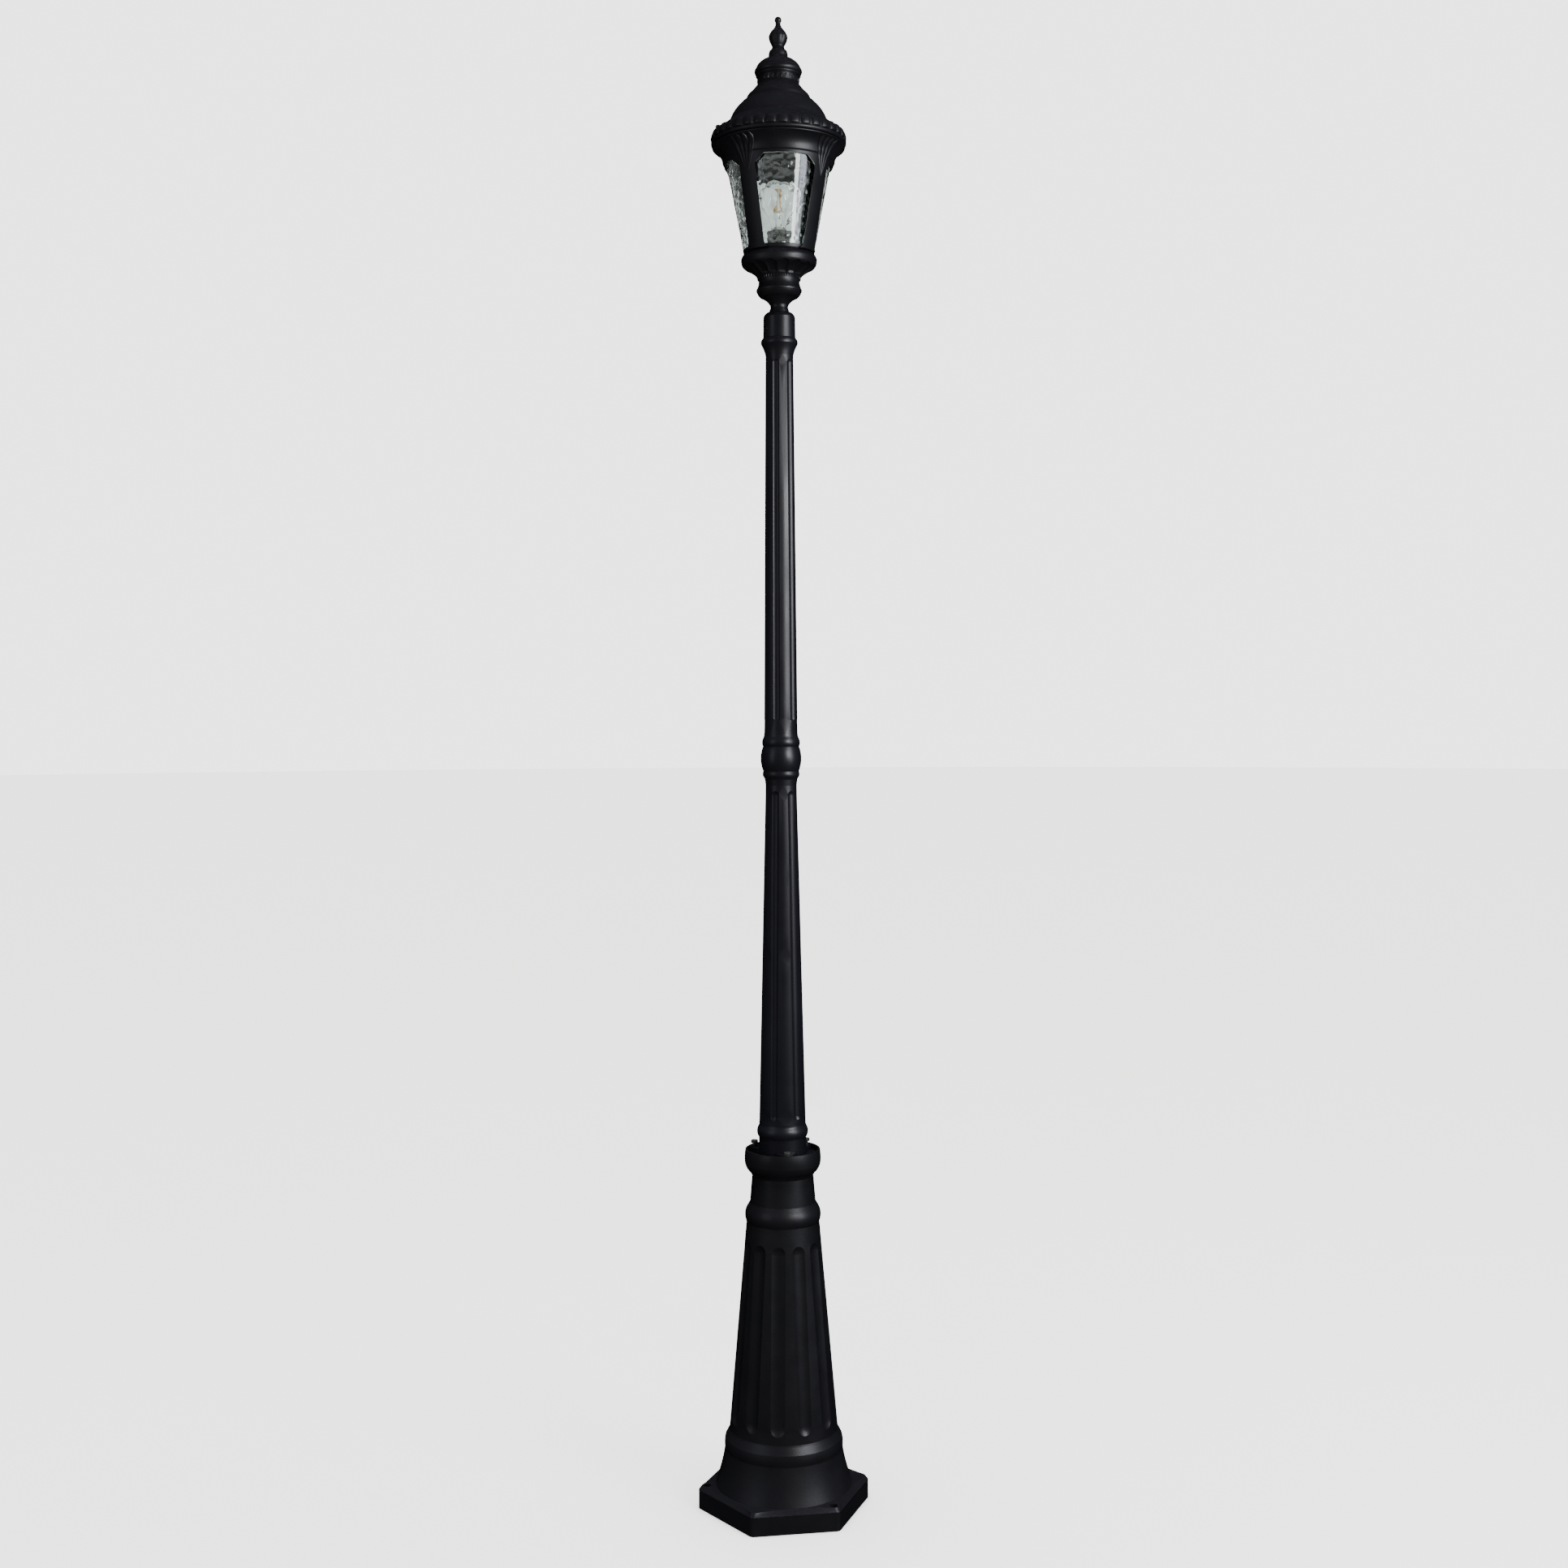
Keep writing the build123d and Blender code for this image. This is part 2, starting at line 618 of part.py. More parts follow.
with BuildPart() as lantern_cage:
    turned([
        (cage_inner_foot, z_cage, 0),
        (cage_inner_foot + cage_wall, z_cage, 0),
        (glass_radius(z_crown) + glass_gap + cage_wall, z_crown, 0),
        (glass_radius(z_crown) + glass_gap + cage_wall + 1.8, z_crown + 2, -3.9),
        (crown_radius, z_gasket - 1.5, 0),
        (crown_radius, z_gasket, 0),
        (crown_bore_radius, z_gasket, 0),
        (crown_bore_radius, bore_start, 0),
    ])
    with PolarLocations(0, 4):
        add(window_cutter.part, mode=Mode.SUBTRACT)
    turned([
        (bowl_mouth_radius, z_cage, 0),
        (glass_radius(z_cage) + 0.6, z_cage, 0),
        (glass_radius(z_glass_foot) + 0.6, z_glass_foot, 0),
        (bowl_mouth_radius, z_glass_foot, 0),
    ])
    with PolarLocations(0, 4, start_angle=45):
        add(post_rib.part)
    with Locations((0, 0, z_glass_foot)), PolarLocations(cage_screw_circle, 4):
        Hole(cage_screw_radius + bolt_clearance, depth=cage_ring_height + 1)
    with Locations((0, 0, z_gasket)), PolarLocations(roof_screw_circle, 2):
        Hole(roof_screw_radius + thread_clearance, depth=roof_screw_grip + 0.5)
    for level in clip_levels:
        rib_plane = clip_plane(z_cage + level)
        drill = screw_hole(rib_plane, clip_screw_radius + thread_clearance, clip_grip + 0.5)
        with PolarLocations(0, 4, start_angle=45):
            add(drill, mode=Mode.SUBTRACT)
save(lantern_cage, "lantern_cage")

# ================================================================ glass panels
with BuildPart() as glass_panel:
    turned([
        (glass_radius(z_glass_foot) - glass_thickness, z_glass_foot, 0),
        (glass_radius(z_glass_foot), z_glass_foot, 0),
        (glass_radius(z_glass_top), z_glass_top, 0),
        (glass_radius(z_glass_top) - glass_thickness, z_glass_top, 0),
    ])
    edge_offset = (rib_width / 2 + rib_side_gap) * sqrt(2)
    with BuildSketch(Plane.XY.offset(z_glass_foot)):
        with BuildLine():
            Polyline(
                (edge_offset, 0),
                (edge_offset + reach, reach),
                (edge_offset + reach, -reach),
                close=True,
            )
        make_face()
    extrude(amount=cage_height, mode=Mode.INTERSECT)
for quarter, side_name in enumerate(["right", "back", "left", "front"]):
    with BuildPart() as one_panel:
        with PolarLocations(0, 1, start_angle=90 * quarter):
            add(glass_panel.part)
    save(one_panel, f"glass_panel_{side_name}")

# ================================================================ glass clips and their screws
clip_pair = []
clip_screw_pair = []
for level in clip_levels:
    with BuildPart() as clip:
        with BuildSketch(clip_plane(z_cage + level)):
            Rectangle(clip_width, clip_height)
            fillet(vertices(), 2)
            Circle(clip_screw_radius + slip_clearance, mode=Mode.SUBTRACT)
        extrude(amount=-clip_thickness)
    clip_pair.append(clip.part)
    with BuildPart() as clip_screw:
        with BuildSketch(clip_plane(z_cage + level).offset(-clip_thickness)):
            Circle(clip_screw_radius)
        extrude(amount=clip_thickness + clip_grip)
        with BuildSketch(clip_plane(z_cage + level).offset(-clip_thickness)):
            Circle(clip_screw_head_radius)
        extrude(amount=-clip_screw_head_height, taper=12)
    clip_screw_pair.append(clip_screw.part)
with BuildPart() as glass_clips:
    with PolarLocations(0, 4, start_angle=45):
        add(clip_pair)
save(glass_clips, "glass_clips")
with BuildPart() as glass_clip_screws:
    with PolarLocations(0, 4, start_angle=45):
        add(clip_screw_pair)
save(glass_clip_screws, "glass_clip_screws")

# ================================================================ screws that hold the cage to the bowl
with BuildPart() as cage_screws:
    with Locations((0, 0, z_glass_foot)), PolarLocations(cage_screw_circle, 4):
        Cylinder(cage_screw_radius, cage_screw_length, align=HANG)
        Cylinder(cage_screw_head_radius, cage_screw_head_height, align=STAND)
        Cylinder(cage_screw_radius * 0.6, cage_screw_head_height, align=STAND, mode=Mode.SUBTRACT)
save(cage_screws, "cage_screws")

# ================================================================ roof
lip_radius = crown_bore_radius - lid_clearance
lip_bore = lip_radius - roof_lip_width
boss_floor = z_cap - roof_boss_height
z_screw_seat = z_roof + roof_screw_seat_rise
rod_bore = tie_rod_radius + bolt_clearance
with BuildPart() as roof:
    turned([
        (lip_bore, z_roof - roof_lip_depth, 0),
        (lip_radius, z_roof - roof_lip_depth, 0),
        (lip_radius, z_roof, 0),
        (crown_radius, z_roof, 0),
        (roof_rim_radius - 1.3, z_roof + 4.8, 2.4),
        (roof_rim_radius - 3.5, z_roof + 19.5, 0.3),
        (roof_rim_radius - 9.5, z_roof + 22.5, 0),
        (roof_rim_radius - 29.5, z_roof + 38, 2.2),
        (roof_rim_radius - 47, z_roof + 64.5, 0.8),
        (roof_rim_radius - 55, z_roof + 70.5, 0),
        (roof_rim_radius - 55.5, z_roof + 72.5, 0.7),
        (roof_neck_radius + 13.5, z_roof + 80, -0.5),
        (roof_neck_radius + 2, z_roof + 93, -0.3),
        (roof_neck_radius, z_roof + 98, 0),
        (roof_neck_radius, z_cap - 5, -0.3),
        (roof_neck_radius + 1.2, z_cap, 0),
        (rod_bore, z_cap, 0),
        (rod_bore, boss_floor, 0),
        (roof_neck_radius - 9, boss_floor, 0),
        (roof_neck_radius + 13 - 2 * roof_wall, z_roof + 78, 0),
        (roof_rim_radius - 56 - roof_wall, z_roof + 69, 0),
        (roof_rim_radius - 46 - roof_wall, z_roof + 61, -2.2),
        (roof_rim_radius - 29.5 - roof_wall, z_roof + 37, 0),
        (lip_bore, z_roof + 23, 0),
    ])
    # Flat seats for the two thumbscrews on the sloping rim.
    with Locations((0, 0, z_screw_seat)), PolarLocations(roof_screw_circle, 2):
        Cylinder(roof_screw_head_radius + 1, roof_screw_seat_rise - 5, align=HANG)
        Cylinder(roof_screw_head_radius + 0.6, roof_screw_head_height + 2, align=STAND, mode=Mode.SUBTRACT)
        Hole(roof_screw_radius + slip_clearance, depth=roof_screw_seat_rise + 1)
save(roof, "roof")

with BuildPart() as thumbscrew:
    with Locations((roof_screw_circle, 0, z_screw_seat)):
        Cylinder(roof_screw_radius, z_screw_seat - z_gasket + roof_screw_grip, align=HANG)
        Cylinder(roof_screw_head_radius, roof_screw_head_height, align=STAND)
    fillet(thumbscrew.faces().sort_by(Axis.Z)[-1].edges(), roof_screw_head_radius * 0.7)
for half_turn, side_name in enumerate(["right", "left"]):
    with BuildPart() as placed_screw:
        with PolarLocations(0, 1, start_angle=180 * half_turn):
            add(thumbscrew.part)
    save(placed_screw, f"roof_screw_{side_name}")

with BuildPart() as roof_gasket:
    with BuildSketch(Plane.XY.offset(z_gasket)):
        Circle(gasket_outer_radius)
        Circle(gasket_inner_radius, mode=Mode.SUBTRACT)
    extrude(amount=gasket_thickness)
save(roof_gasket, "roof_gasket")

# ================================================================ chimney cap
with BuildPart() as chimney_cap:
    turned([
        (20, z_cap, 0),
        (roof_neck_radius + 1.2, z_cap, 2.0),
        (36, z_cap + 11.5, 0),
        (34.4, z_cap + 14, 0.8),
        (26.5, z_cap + 23.5, 0.3),
        (22, z_finial, 0),
        (rod_bore, z_finial, 0),
        (rod_bore, z_cap + 10, 0),
        (20, z_cap + 10, 0),
    ])
save(chimney_cap, "chimney_cap")

# ================================================================ finial
rod_thread = tie_rod_radius + thread_clearance
ball_centre = z_top - finial_ball_radius
ball_neck = 4.1
ball_foot = ball_centre - sqrt(finial_ball_radius**2 - ball_neck**2)
ball_sweep = 90 + degrees(acos(ball_neck / finial_ball_radius))
with BuildPart() as finial:
    turned([
        (rod_thread, z_finial, 0),
        (21, z_finial, -1.6),
        (15, z_finial + 7, 0.4),
        (13.4, z_finial + 14.5, -0.9),
        (9.4, z_finial + 21, 0),
        (9.6, z_finial + 22.5, 1.1),
        (14.8, z_finial + 36.5, 0.8),
        (9.1, z_finial + 47, -0.6),
        (ball_neck, z_finial + 55, 0),
        (ball_neck, ball_foot, bow_of(finial_ball_radius, ball_sweep)),
        (0, z_top, 0),
        (0, z_finial + tie_rod_in_finial + end_gap, 0),
        (rod_thread, z_finial + tie_rod_in_finial + end_gap, 0),
    ])
save(finial, "finial")

# ================================================================ tie rod, washer and nut
washer_floor = boss_floor - tie_rod_washer_thickness
nut_floor = washer_floor - tie_rod_nut_thickness
with BuildPart() as roof_tie_rod:
    with BuildSketch(Plane.XY.offset(nut_floor - 3)):
        Circle(tie_rod_radius)
    extrude(amount=z_finial + tie_rod_in_finial - nut_floor + 3)
save(roof_tie_rod, "roof_tie_rod")

with BuildPart() as roof_tie_washer:
    with BuildSketch(Plane.XY.offset(washer_floor)):
        Circle(tie_rod_washer_radius)
        Circle(rod_bore, mode=Mode.SUBTRACT)
    extrude(amount=tie_rod_washer_thickness)
save(roof_tie_washer, "roof_tie_washer")

with BuildPart() as roof_tie_nut:
    with BuildSketch(Plane.XY.offset(nut_floor)):
        RegularPolygon(tie_rod_nut_flats / 2, 6, major_radius=False)
        Circle(rod_thread, mode=Mode.SUBTRACT)
    extrude(amount=tie_rod_nut_thickness)
save(roof_tie_nut, "roof_tie_nut")

# ================================================================ lamp pipe and its two nuts
pipe_foot = z_web - pipe_nut_thickness - 4
pipe_head = z_holder + 10
with BuildPart() as lamp_pipe:
    with BuildSketch(Plane.XY.offset(pipe_foot)):
        Circle(lamp_pipe_radius)
        Circle(lamp_pipe_bore, mode=Mode.SUBTRACT)
    extrude(amount=pipe_head - pipe_foot)
save(lamp_pipe, "lamp_pipe")

with BuildPart() as pipe_nuts:
    for nut_foot in (z_web - pipe_nut_thickness, bowl_floor):
        with BuildSketch(Plane.XY.offset(nut_foot)):
            RegularPolygon(pipe_nut_flats / 2, 6, major_radius=False)
            Circle(lamp_pipe_radius + thread_clearance, mode=Mode.SUBTRACT)
        extrude(amount=pipe_nut_thickness)
save(pipe_nuts, "pipe_nuts")

# ================================================================ lampholder
with BuildPart() as lampholder_body:
    turned([
        (lamp_pipe_radius + thread_clearance, z_holder, 0),
        (holder_radius - 2, z_holder, 0.5),
        (holder_radius, z_holder + 6, 0),
        (holder_radius, z_holder + holder_height, 0),
        (shell_radius, z_holder + holder_height, 0),
        (shell_radius, z_holder_floor, 0),
        (0, z_holder_floor, 0),
        (0, z_holder_floor - 1, 0),
        (flex_radius + thread_clearance, z_holder_floor - 1, 0),
        (flex_radius + thread_clearance, pipe_head, 0),
        (lamp_pipe_radius + thread_clearance, pipe_head, 0),
    ])
save(lampholder_body, "lampholder_body")

with BuildPart() as lampholder_shell:
    with BuildSketch(Plane.XY.offset(z_holder_floor)):
        Circle(shell_radius)
        Circle(shell_bore, mode=Mode.SUBTRACT)
    extrude(amount=holder_shell_height)
save(lampholder_shell, "lampholder_shell")

with BuildPart() as lampholder_contact:
    with BuildSketch(Plane.XY.offset(z_holder_floor)):
        Circle(contact_radius)
    extrude(amount=contact_height)
    fillet(lampholder_contact.faces().sort_by(Axis.Z)[-1].edges(), 0.8)
save(lampholder_contact, "lampholder_contact")

# ================================================================ bulb
cap_foot = z_bulb + bulb_tip_height + bulb_insulator_height
cap_head = cap_foot + bulb_cap_height
neck_radius = bulb_cap_radius - bulb_cap_wall
bulb_centre = z_bulb + bulb_length - bulb_radius
globe_start = 12.0                     # height below the bulb's centre where the neck meets the globe
neck_sunk = 12.0                       # length of glass neck inside the cap
inner_radius = bulb_radius - bulb_wall
globe_rim = sqrt(bulb_radius**2 - globe_start**2)
outer_sweep = 90 + degrees(asin(globe_start / bulb_radius))
inner_sweep = 90 + degrees(asin(globe_start / inner_radius))
with BuildPart() as bulb_contact:
    with BuildSketch(Plane.XY.offset(z_bulb)):
        Circle(4.2)
    extrude(amount=bulb_tip_height)
save(bulb_contact, "bulb_contact")

with BuildPart() as bulb_insulator:
    turned([
        (0, z_bulb + bulb_tip_height, 0),
        (8, z_bulb + bulb_tip_height, 0),
        (neck_radius, cap_foot, 0),
        (0, cap_foot, 0),
    ])
save(bulb_insulator, "bulb_insulator")

with BuildPart() as bulb_cap:
    with BuildSketch(Plane.XY.offset(cap_foot)):
        Circle(bulb_cap_radius)
        Circle(neck_radius, mode=Mode.SUBTRACT)
    extrude(amount=bulb_cap_height)
save(bulb_cap, "bulb_cap")

with BuildPart() as bulb_glass:
    turned([
        (neck_radius - bulb_wall, cap_head - neck_sunk, 0),
        (neck_radius, cap_head - neck_sunk, 0),
        (neck_radius, cap_head + 1, -1.2),
        (globe_rim, bulb_centre - globe_start, bow_of(bulb_radius, outer_sweep)),
        (0, bulb_centre + bulb_radius, 0),
        (0, bulb_centre + inner_radius, -bow_of(inner_radius, inner_sweep)),
        (sqrt(inner_radius**2 - globe_start**2), bulb_centre - globe_start, 1.2),
        (neck_radius - bulb_wall, cap_head + 1, 0),
    ])
save(bulb_glass, "bulb_glass")

stem_foot = cap_head - neck_sunk
with BuildPart() as bulb_stem:
    turned([
        (0, stem_foot, 0),
        (neck_radius - bulb_wall, stem_foot, 0),
        (neck_radius - bulb_wall, stem_foot + 1.5, -2.5),
        (3.5, stem_foot + 10, 0),
        (3.0, cap_head + 18, 0),
        (1.2, cap_head + 24, 0),
        (1.2, filament_foot + filament_length, 0),
        (0, filament_foot + filament_length, 0),
    ])
save(bulb_stem, "bulb_stem")

stick_lean = atan((filament_foot_circle - filament_head_circle) / filament_length)
stick_plane = Plane(
    origin=(filament_foot_circle, 0, filament_foot),
    x_dir=(0, 1, 0),
    z_dir=(-sin(stick_lean), 0, cos(stick_lean)),
)
with BuildPart() as bulb_filaments:
    with BuildSketch(Plane.XY.offset(filament_foot)):
        Circle(filament_foot_circle + filament_radius)
        Circle(1.2, mode=Mode.SUBTRACT)
    extrude(amount=0.8)
    with PolarLocations(0, filament_count, start_angle=45):
        add(screw_hole(stick_plane, filament_radius, filament_length / cos(stick_lean)))
    with BuildSketch(Plane.XY.offset(filament_foot + filament_length)):
        Circle(filament_head_circle + filament_radius)
    extrude(amount=0.8)
save(bulb_filaments, "bulb_filaments")

# ================================================================ wiring inside the posts
bracket_top = spigot_floor
bracket_foot = bracket_top - bracket_drop
block_top = bracket_top - block_drop
block_floor = block_top - block_height
web_front = block_depth - 6            # the web's face that the terminal block is screwed to
block_front = web_front - block_depth
screw_run = block_depth + bracket_thickness + 1
earth_plane = Plane(origin=(0, web_front, bracket_foot + earth_rise), x_dir=(1, 0, 0), z_dir=(0, -1, 0))


def block_plane(x, rise):
    """Plane on the terminal block's front face, looking forwards, at x and this high on the block."""
    return Plane(origin=(x, block_front, block_floor + rise), x_dir=(1, 0, 0), z_dir=(0, -1, 0))


with BuildPart() as terminal_bracket:
    with BuildSketch(Plane.XY.offset(bracket_top - bracket_thickness)):
        with Locations((0, web_front)):
            Rectangle(bracket_width, bracket_flange, align=(Align.CENTER, Align.MIN))
        with Locations(*[(x, bracket_screw_reach) for x in bracket_screw_offsets]):
            Circle(bracket_screw_radius + bolt_clearance, mode=Mode.SUBTRACT)
    extrude(amount=bracket_thickness)
    with BuildSketch(Plane.XY.offset(bracket_foot)):
        with Locations((0, web_front)):
            Rectangle(bracket_width, bracket_thickness, align=(Align.CENTER, Align.MIN))
    extrude(amount=bracket_drop)
    for x in block_screw_offsets:
        screw_plane = block_plane(x, block_screw_rise)
        tapped_hole = screw_hole(screw_plane, block_screw_radius + thread_clearance, -screw_run)
        add(tapped_hole, mode=Mode.SUBTRACT)
    earth_hole = screw_hole(earth_plane, earth_screw_radius + thread_clearance, -bracket_thickness - 1)
    add(earth_hole, mode=Mode.SUBTRACT)
save(terminal_bracket, "terminal_bracket")

with BuildPart() as bracket_screws:
    for x in bracket_screw_offsets:
        with Locations((x, bracket_screw_reach, bracket_top - bracket_thickness)):
            Cylinder(bracket_screw_radius, bracket_screw_length, align=STAND)
            Cylinder(bracket_screw_radius * 1.8, 2.4, align=HANG)
save(bracket_screws, "bracket_screws")

with BuildPart() as terminal_block:
    with BuildSketch(Plane.XY.offset(block_floor)):
        with Locations((0, block_front)):
            Rectangle(block_width, block_depth, align=(Align.CENTER, Align.MIN))
        fillet(vertices(), 2)
    extrude(amount=block_height)
    with Locations((0, 0, block_top)):
        Hole(flex_radius + thread_clearance, depth=flex_entry)
    for x in block_screw_offsets:
        screw_plane = block_plane(x, block_screw_rise)
        clear_hole = screw_hole(screw_plane, block_screw_radius + bolt_clearance, -screw_run)
        add(clear_hole, mode=Mode.SUBTRACT)
    for x in terminal_offsets:
        terminal_plane = block_plane(x, terminal_rise)
        well = screw_hole(terminal_plane, terminal_screw_radius + thread_clearance, -terminal_screw_length)
        add(well, mode=Mode.SUBTRACT)
save(terminal_block, "terminal_block")

with BuildPart() as terminal_screws:
    for x in terminal_offsets:
        with BuildSketch(block_plane(x, terminal_rise).offset(-terminal_screw_length)):
            Circle(terminal_screw_radius)
        extrude(amount=terminal_screw_length - 1)
save(terminal_screws, "terminal_screws")

with BuildPart() as block_screws:
    for x in block_screw_offsets:
        with BuildSketch(block_plane(x, block_screw_rise)):
            Circle(block_screw_radius * 1.9)
        extrude(amount=1.8)
        with BuildSketch(block_plane(x, block_screw_rise)):
            Circle(block_screw_radius)
        extrude(amount=-screw_run)
save(block_screws, "block_screws")

with BuildPart() as earth_screw:
    with BuildSketch(earth_plane):
        Circle(earth_screw_radius * 1.8)
    extrude(amount=3)
    with BuildSketch(earth_plane):
        Circle(earth_screw_radius)
    extrude(amount=-bracket_thickness - 5)
save(earth_screw, "earth_screw")

with BuildPart() as lamp_flex:
    with BuildSketch(Plane.XY.offset(block_top - flex_entry)):
        Circle(flex_radius)
    extrude(amount=z_holder_floor - 1 - block_top + flex_entry)
save(lamp_flex, "lamp_flex")
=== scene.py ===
import json
import logging
import math
from dataclasses import dataclass, field
from enum import Enum
from typing import Callable, ClassVar, Iterable, Sequence

import bmesh
import bpy
from mathutils import Matrix, Vector, noise


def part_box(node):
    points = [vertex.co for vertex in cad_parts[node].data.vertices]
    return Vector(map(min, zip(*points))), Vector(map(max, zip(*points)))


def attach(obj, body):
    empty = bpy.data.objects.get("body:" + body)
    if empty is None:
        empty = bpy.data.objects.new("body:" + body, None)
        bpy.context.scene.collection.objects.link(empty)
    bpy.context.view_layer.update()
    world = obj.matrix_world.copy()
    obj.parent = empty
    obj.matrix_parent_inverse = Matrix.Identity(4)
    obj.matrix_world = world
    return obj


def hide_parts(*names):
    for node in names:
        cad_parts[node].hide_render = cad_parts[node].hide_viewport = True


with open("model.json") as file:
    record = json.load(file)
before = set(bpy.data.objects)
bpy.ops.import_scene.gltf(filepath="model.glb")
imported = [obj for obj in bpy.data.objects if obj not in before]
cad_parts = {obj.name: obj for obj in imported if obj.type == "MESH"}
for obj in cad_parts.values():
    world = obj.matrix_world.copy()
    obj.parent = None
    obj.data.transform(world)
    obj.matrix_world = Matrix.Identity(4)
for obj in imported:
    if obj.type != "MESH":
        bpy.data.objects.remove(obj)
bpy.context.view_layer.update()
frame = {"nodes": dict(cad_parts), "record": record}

# The visual model of a garden post lamp. The CAD gives every place and every body. Sizes here are
# millimetres, +Z is up, the lamp's axis is Z, and -Y is the front.
MM = 0.001
LOG = logging.getLogger("post_lamp")

Station = tuple[float, float, float]
Point = tuple[float, float]
Face = tuple[int, ...]
Relief = Callable[[float, float, float], Point]


class Body(Enum):
    """The bodies of the frame that pieces ride on."""

    LAMP = "lamp"
    ROOF = "roof"


class Slot(Enum):
    """The material slots of the part's record."""

    BLACK_POWDER_COAT = "black_powder_coat"
    BLACKENED_STEEL = "blackened_steel"
    ZINC = "zinc_plated_steel"
    BRASS = "brass"
    WATER_GLASS = "water_glass"
    BULB_GLASS = "clear_bulb_glass"
    RUBBER = "rubber"
    PHENOLIC = "phenolic"
    NICKEL = "nickel_plate"
    PHOSPHOR = "amber_phosphor"
    SHEATH = "cable_sheath"
    TERMINAL = "terminal_plastic"


# ---------------------------------------------------------------- finishes
def linear(colour: str) -> tuple[float, float, float, float]:
    """Turn an sRGB colour into the linear colour that a shader takes.

    Args:
        colour: Six hex digits after a hash sign.

    Returns:
        Linear red, green, blue and an alpha of one.
    """
    channels = [int(colour[start:start + 2], 16) / 255 for start in (1, 3, 5)]
    lights = [c / 12.92 if c <= 0.04045 else ((c + 0.055) / 1.055) ** 2.4 for c in channels]
    return (lights[0], lights[1], lights[2], 1.0)


def add_node(
    tree: bpy.types.NodeTree,
    kind: str,
    settings: dict[str, object] | None = None,
    inputs: dict[str | int, object] | None = None,
) -> bpy.types.Node:
    """Add a node, set its properties, and give each input a value or a link.

    Args:
        tree: The node tree that takes the node.
        kind: The node's type name.
        settings: Properties of the node by name.
        inputs: Values or output sockets by input name or number.

    Returns:
        The new node.
    """
    node = tree.nodes.new(kind)
    for name, value in (settings or {}).items():
        setattr(node, name, value)
    for name, value in (inputs or {}).items():
        if isinstance(value, bpy.types.NodeSocket):
            tree.links.new(value, node.inputs[name])
        else:
            node.inputs[name].default_value = value
    return node


@dataclass(frozen=True)
class Finish:
    """A finish made of a shader, a mottle of its colour and gloss, and a fine bump.

    The mottle is slow and wide, as a coat or a cast differs from place to place. The grain is the
    texture of the surface itself, and both scales are real sizes.
    """

    title: str
    colour: str
    second_colour: str
    roughness: float
    roughness_spread: float = 0.06
    metallic: float = 0.0
    ior: float = 1.5
    specular: float = 0.5
    transmission: float = 0.0
    mottle_mm: float = 60.0
    grain_mm: float = 1.0
    grain_height_mm: float = 0.02
    stretch: tuple[float, float, float] = (1.0, 1.0, 1.0)

    def material(self) -> bpy.types.Material:
        """Build the material once, and hand back the same one after that.

        Returns:
            The Blender material of this finish.
        """
        ready = bpy.data.materials.get(self.title)
        if ready is not None:
            return ready
        material = bpy.data.materials.new(self.title)
        material.use_nodes = True
        tree = material.node_tree
        tree.nodes.clear()
        place = add_node(tree, "ShaderNodeTexCoord").outputs["Object"]
        stretched = add_node(tree, "ShaderNodeMapping", inputs={"Vector": place, "Scale": self.stretch})
        mottle = add_node(tree, "ShaderNodeTexNoise", inputs={
            "Vector": place, "Scale": 1 / (self.mottle_mm * MM), "Detail": 3.0, "Roughness": 0.55})
        colour = add_node(tree, "ShaderNodeMix", {"data_type": "RGBA"}, {
            0: mottle.outputs["Fac"], 6: linear(self.colour), 7: linear(self.second_colour)})
        gloss = add_node(tree, "ShaderNodeMapRange", inputs={
            "Value": mottle.outputs["Fac"], "From Min": 0.3, "From Max": 0.7,
            "To Min": self.roughness - self.roughness_spread,
            "To Max": self.roughness + self.roughness_spread})
        bump = self.bump(tree, stretched.outputs["Vector"])
        shader = add_node(tree, "ShaderNodeBsdfPrincipled", inputs={
            "Base Color": colour.outputs[2], "Roughness": gloss.outputs["Result"],
            "Metallic": self.metallic, "IOR": self.ior, "Specular IOR Level": self.specular,
            "Transmission Weight": self.transmission, "Normal": bump})
        add_node(tree, "ShaderNodeOutputMaterial", inputs={"Surface": shader.outputs["BSDF"]})
        return material

    def bump(self, tree: bpy.types.NodeTree, place: bpy.types.NodeSocket) -> bpy.types.NodeSocket:
        """Add the grain of the surface to a node tree.

        Args:
            tree: The material's node tree.
            place: The coordinates that the grain follows.

        Returns:
            The normal output of the grain's bump.
        """
        grain = add_node(tree, "ShaderNodeTexNoise", inputs={
            "Vector": place, "Scale": 1 / (self.grain_mm * MM), "Detail": 2.0})
        return add_node(tree, "ShaderNodeBump", inputs={
            "Strength": 1.0, "Distance": self.grain_height_mm * MM,
            "Height": grain.outputs["Fac"]}).outputs["Normal"]


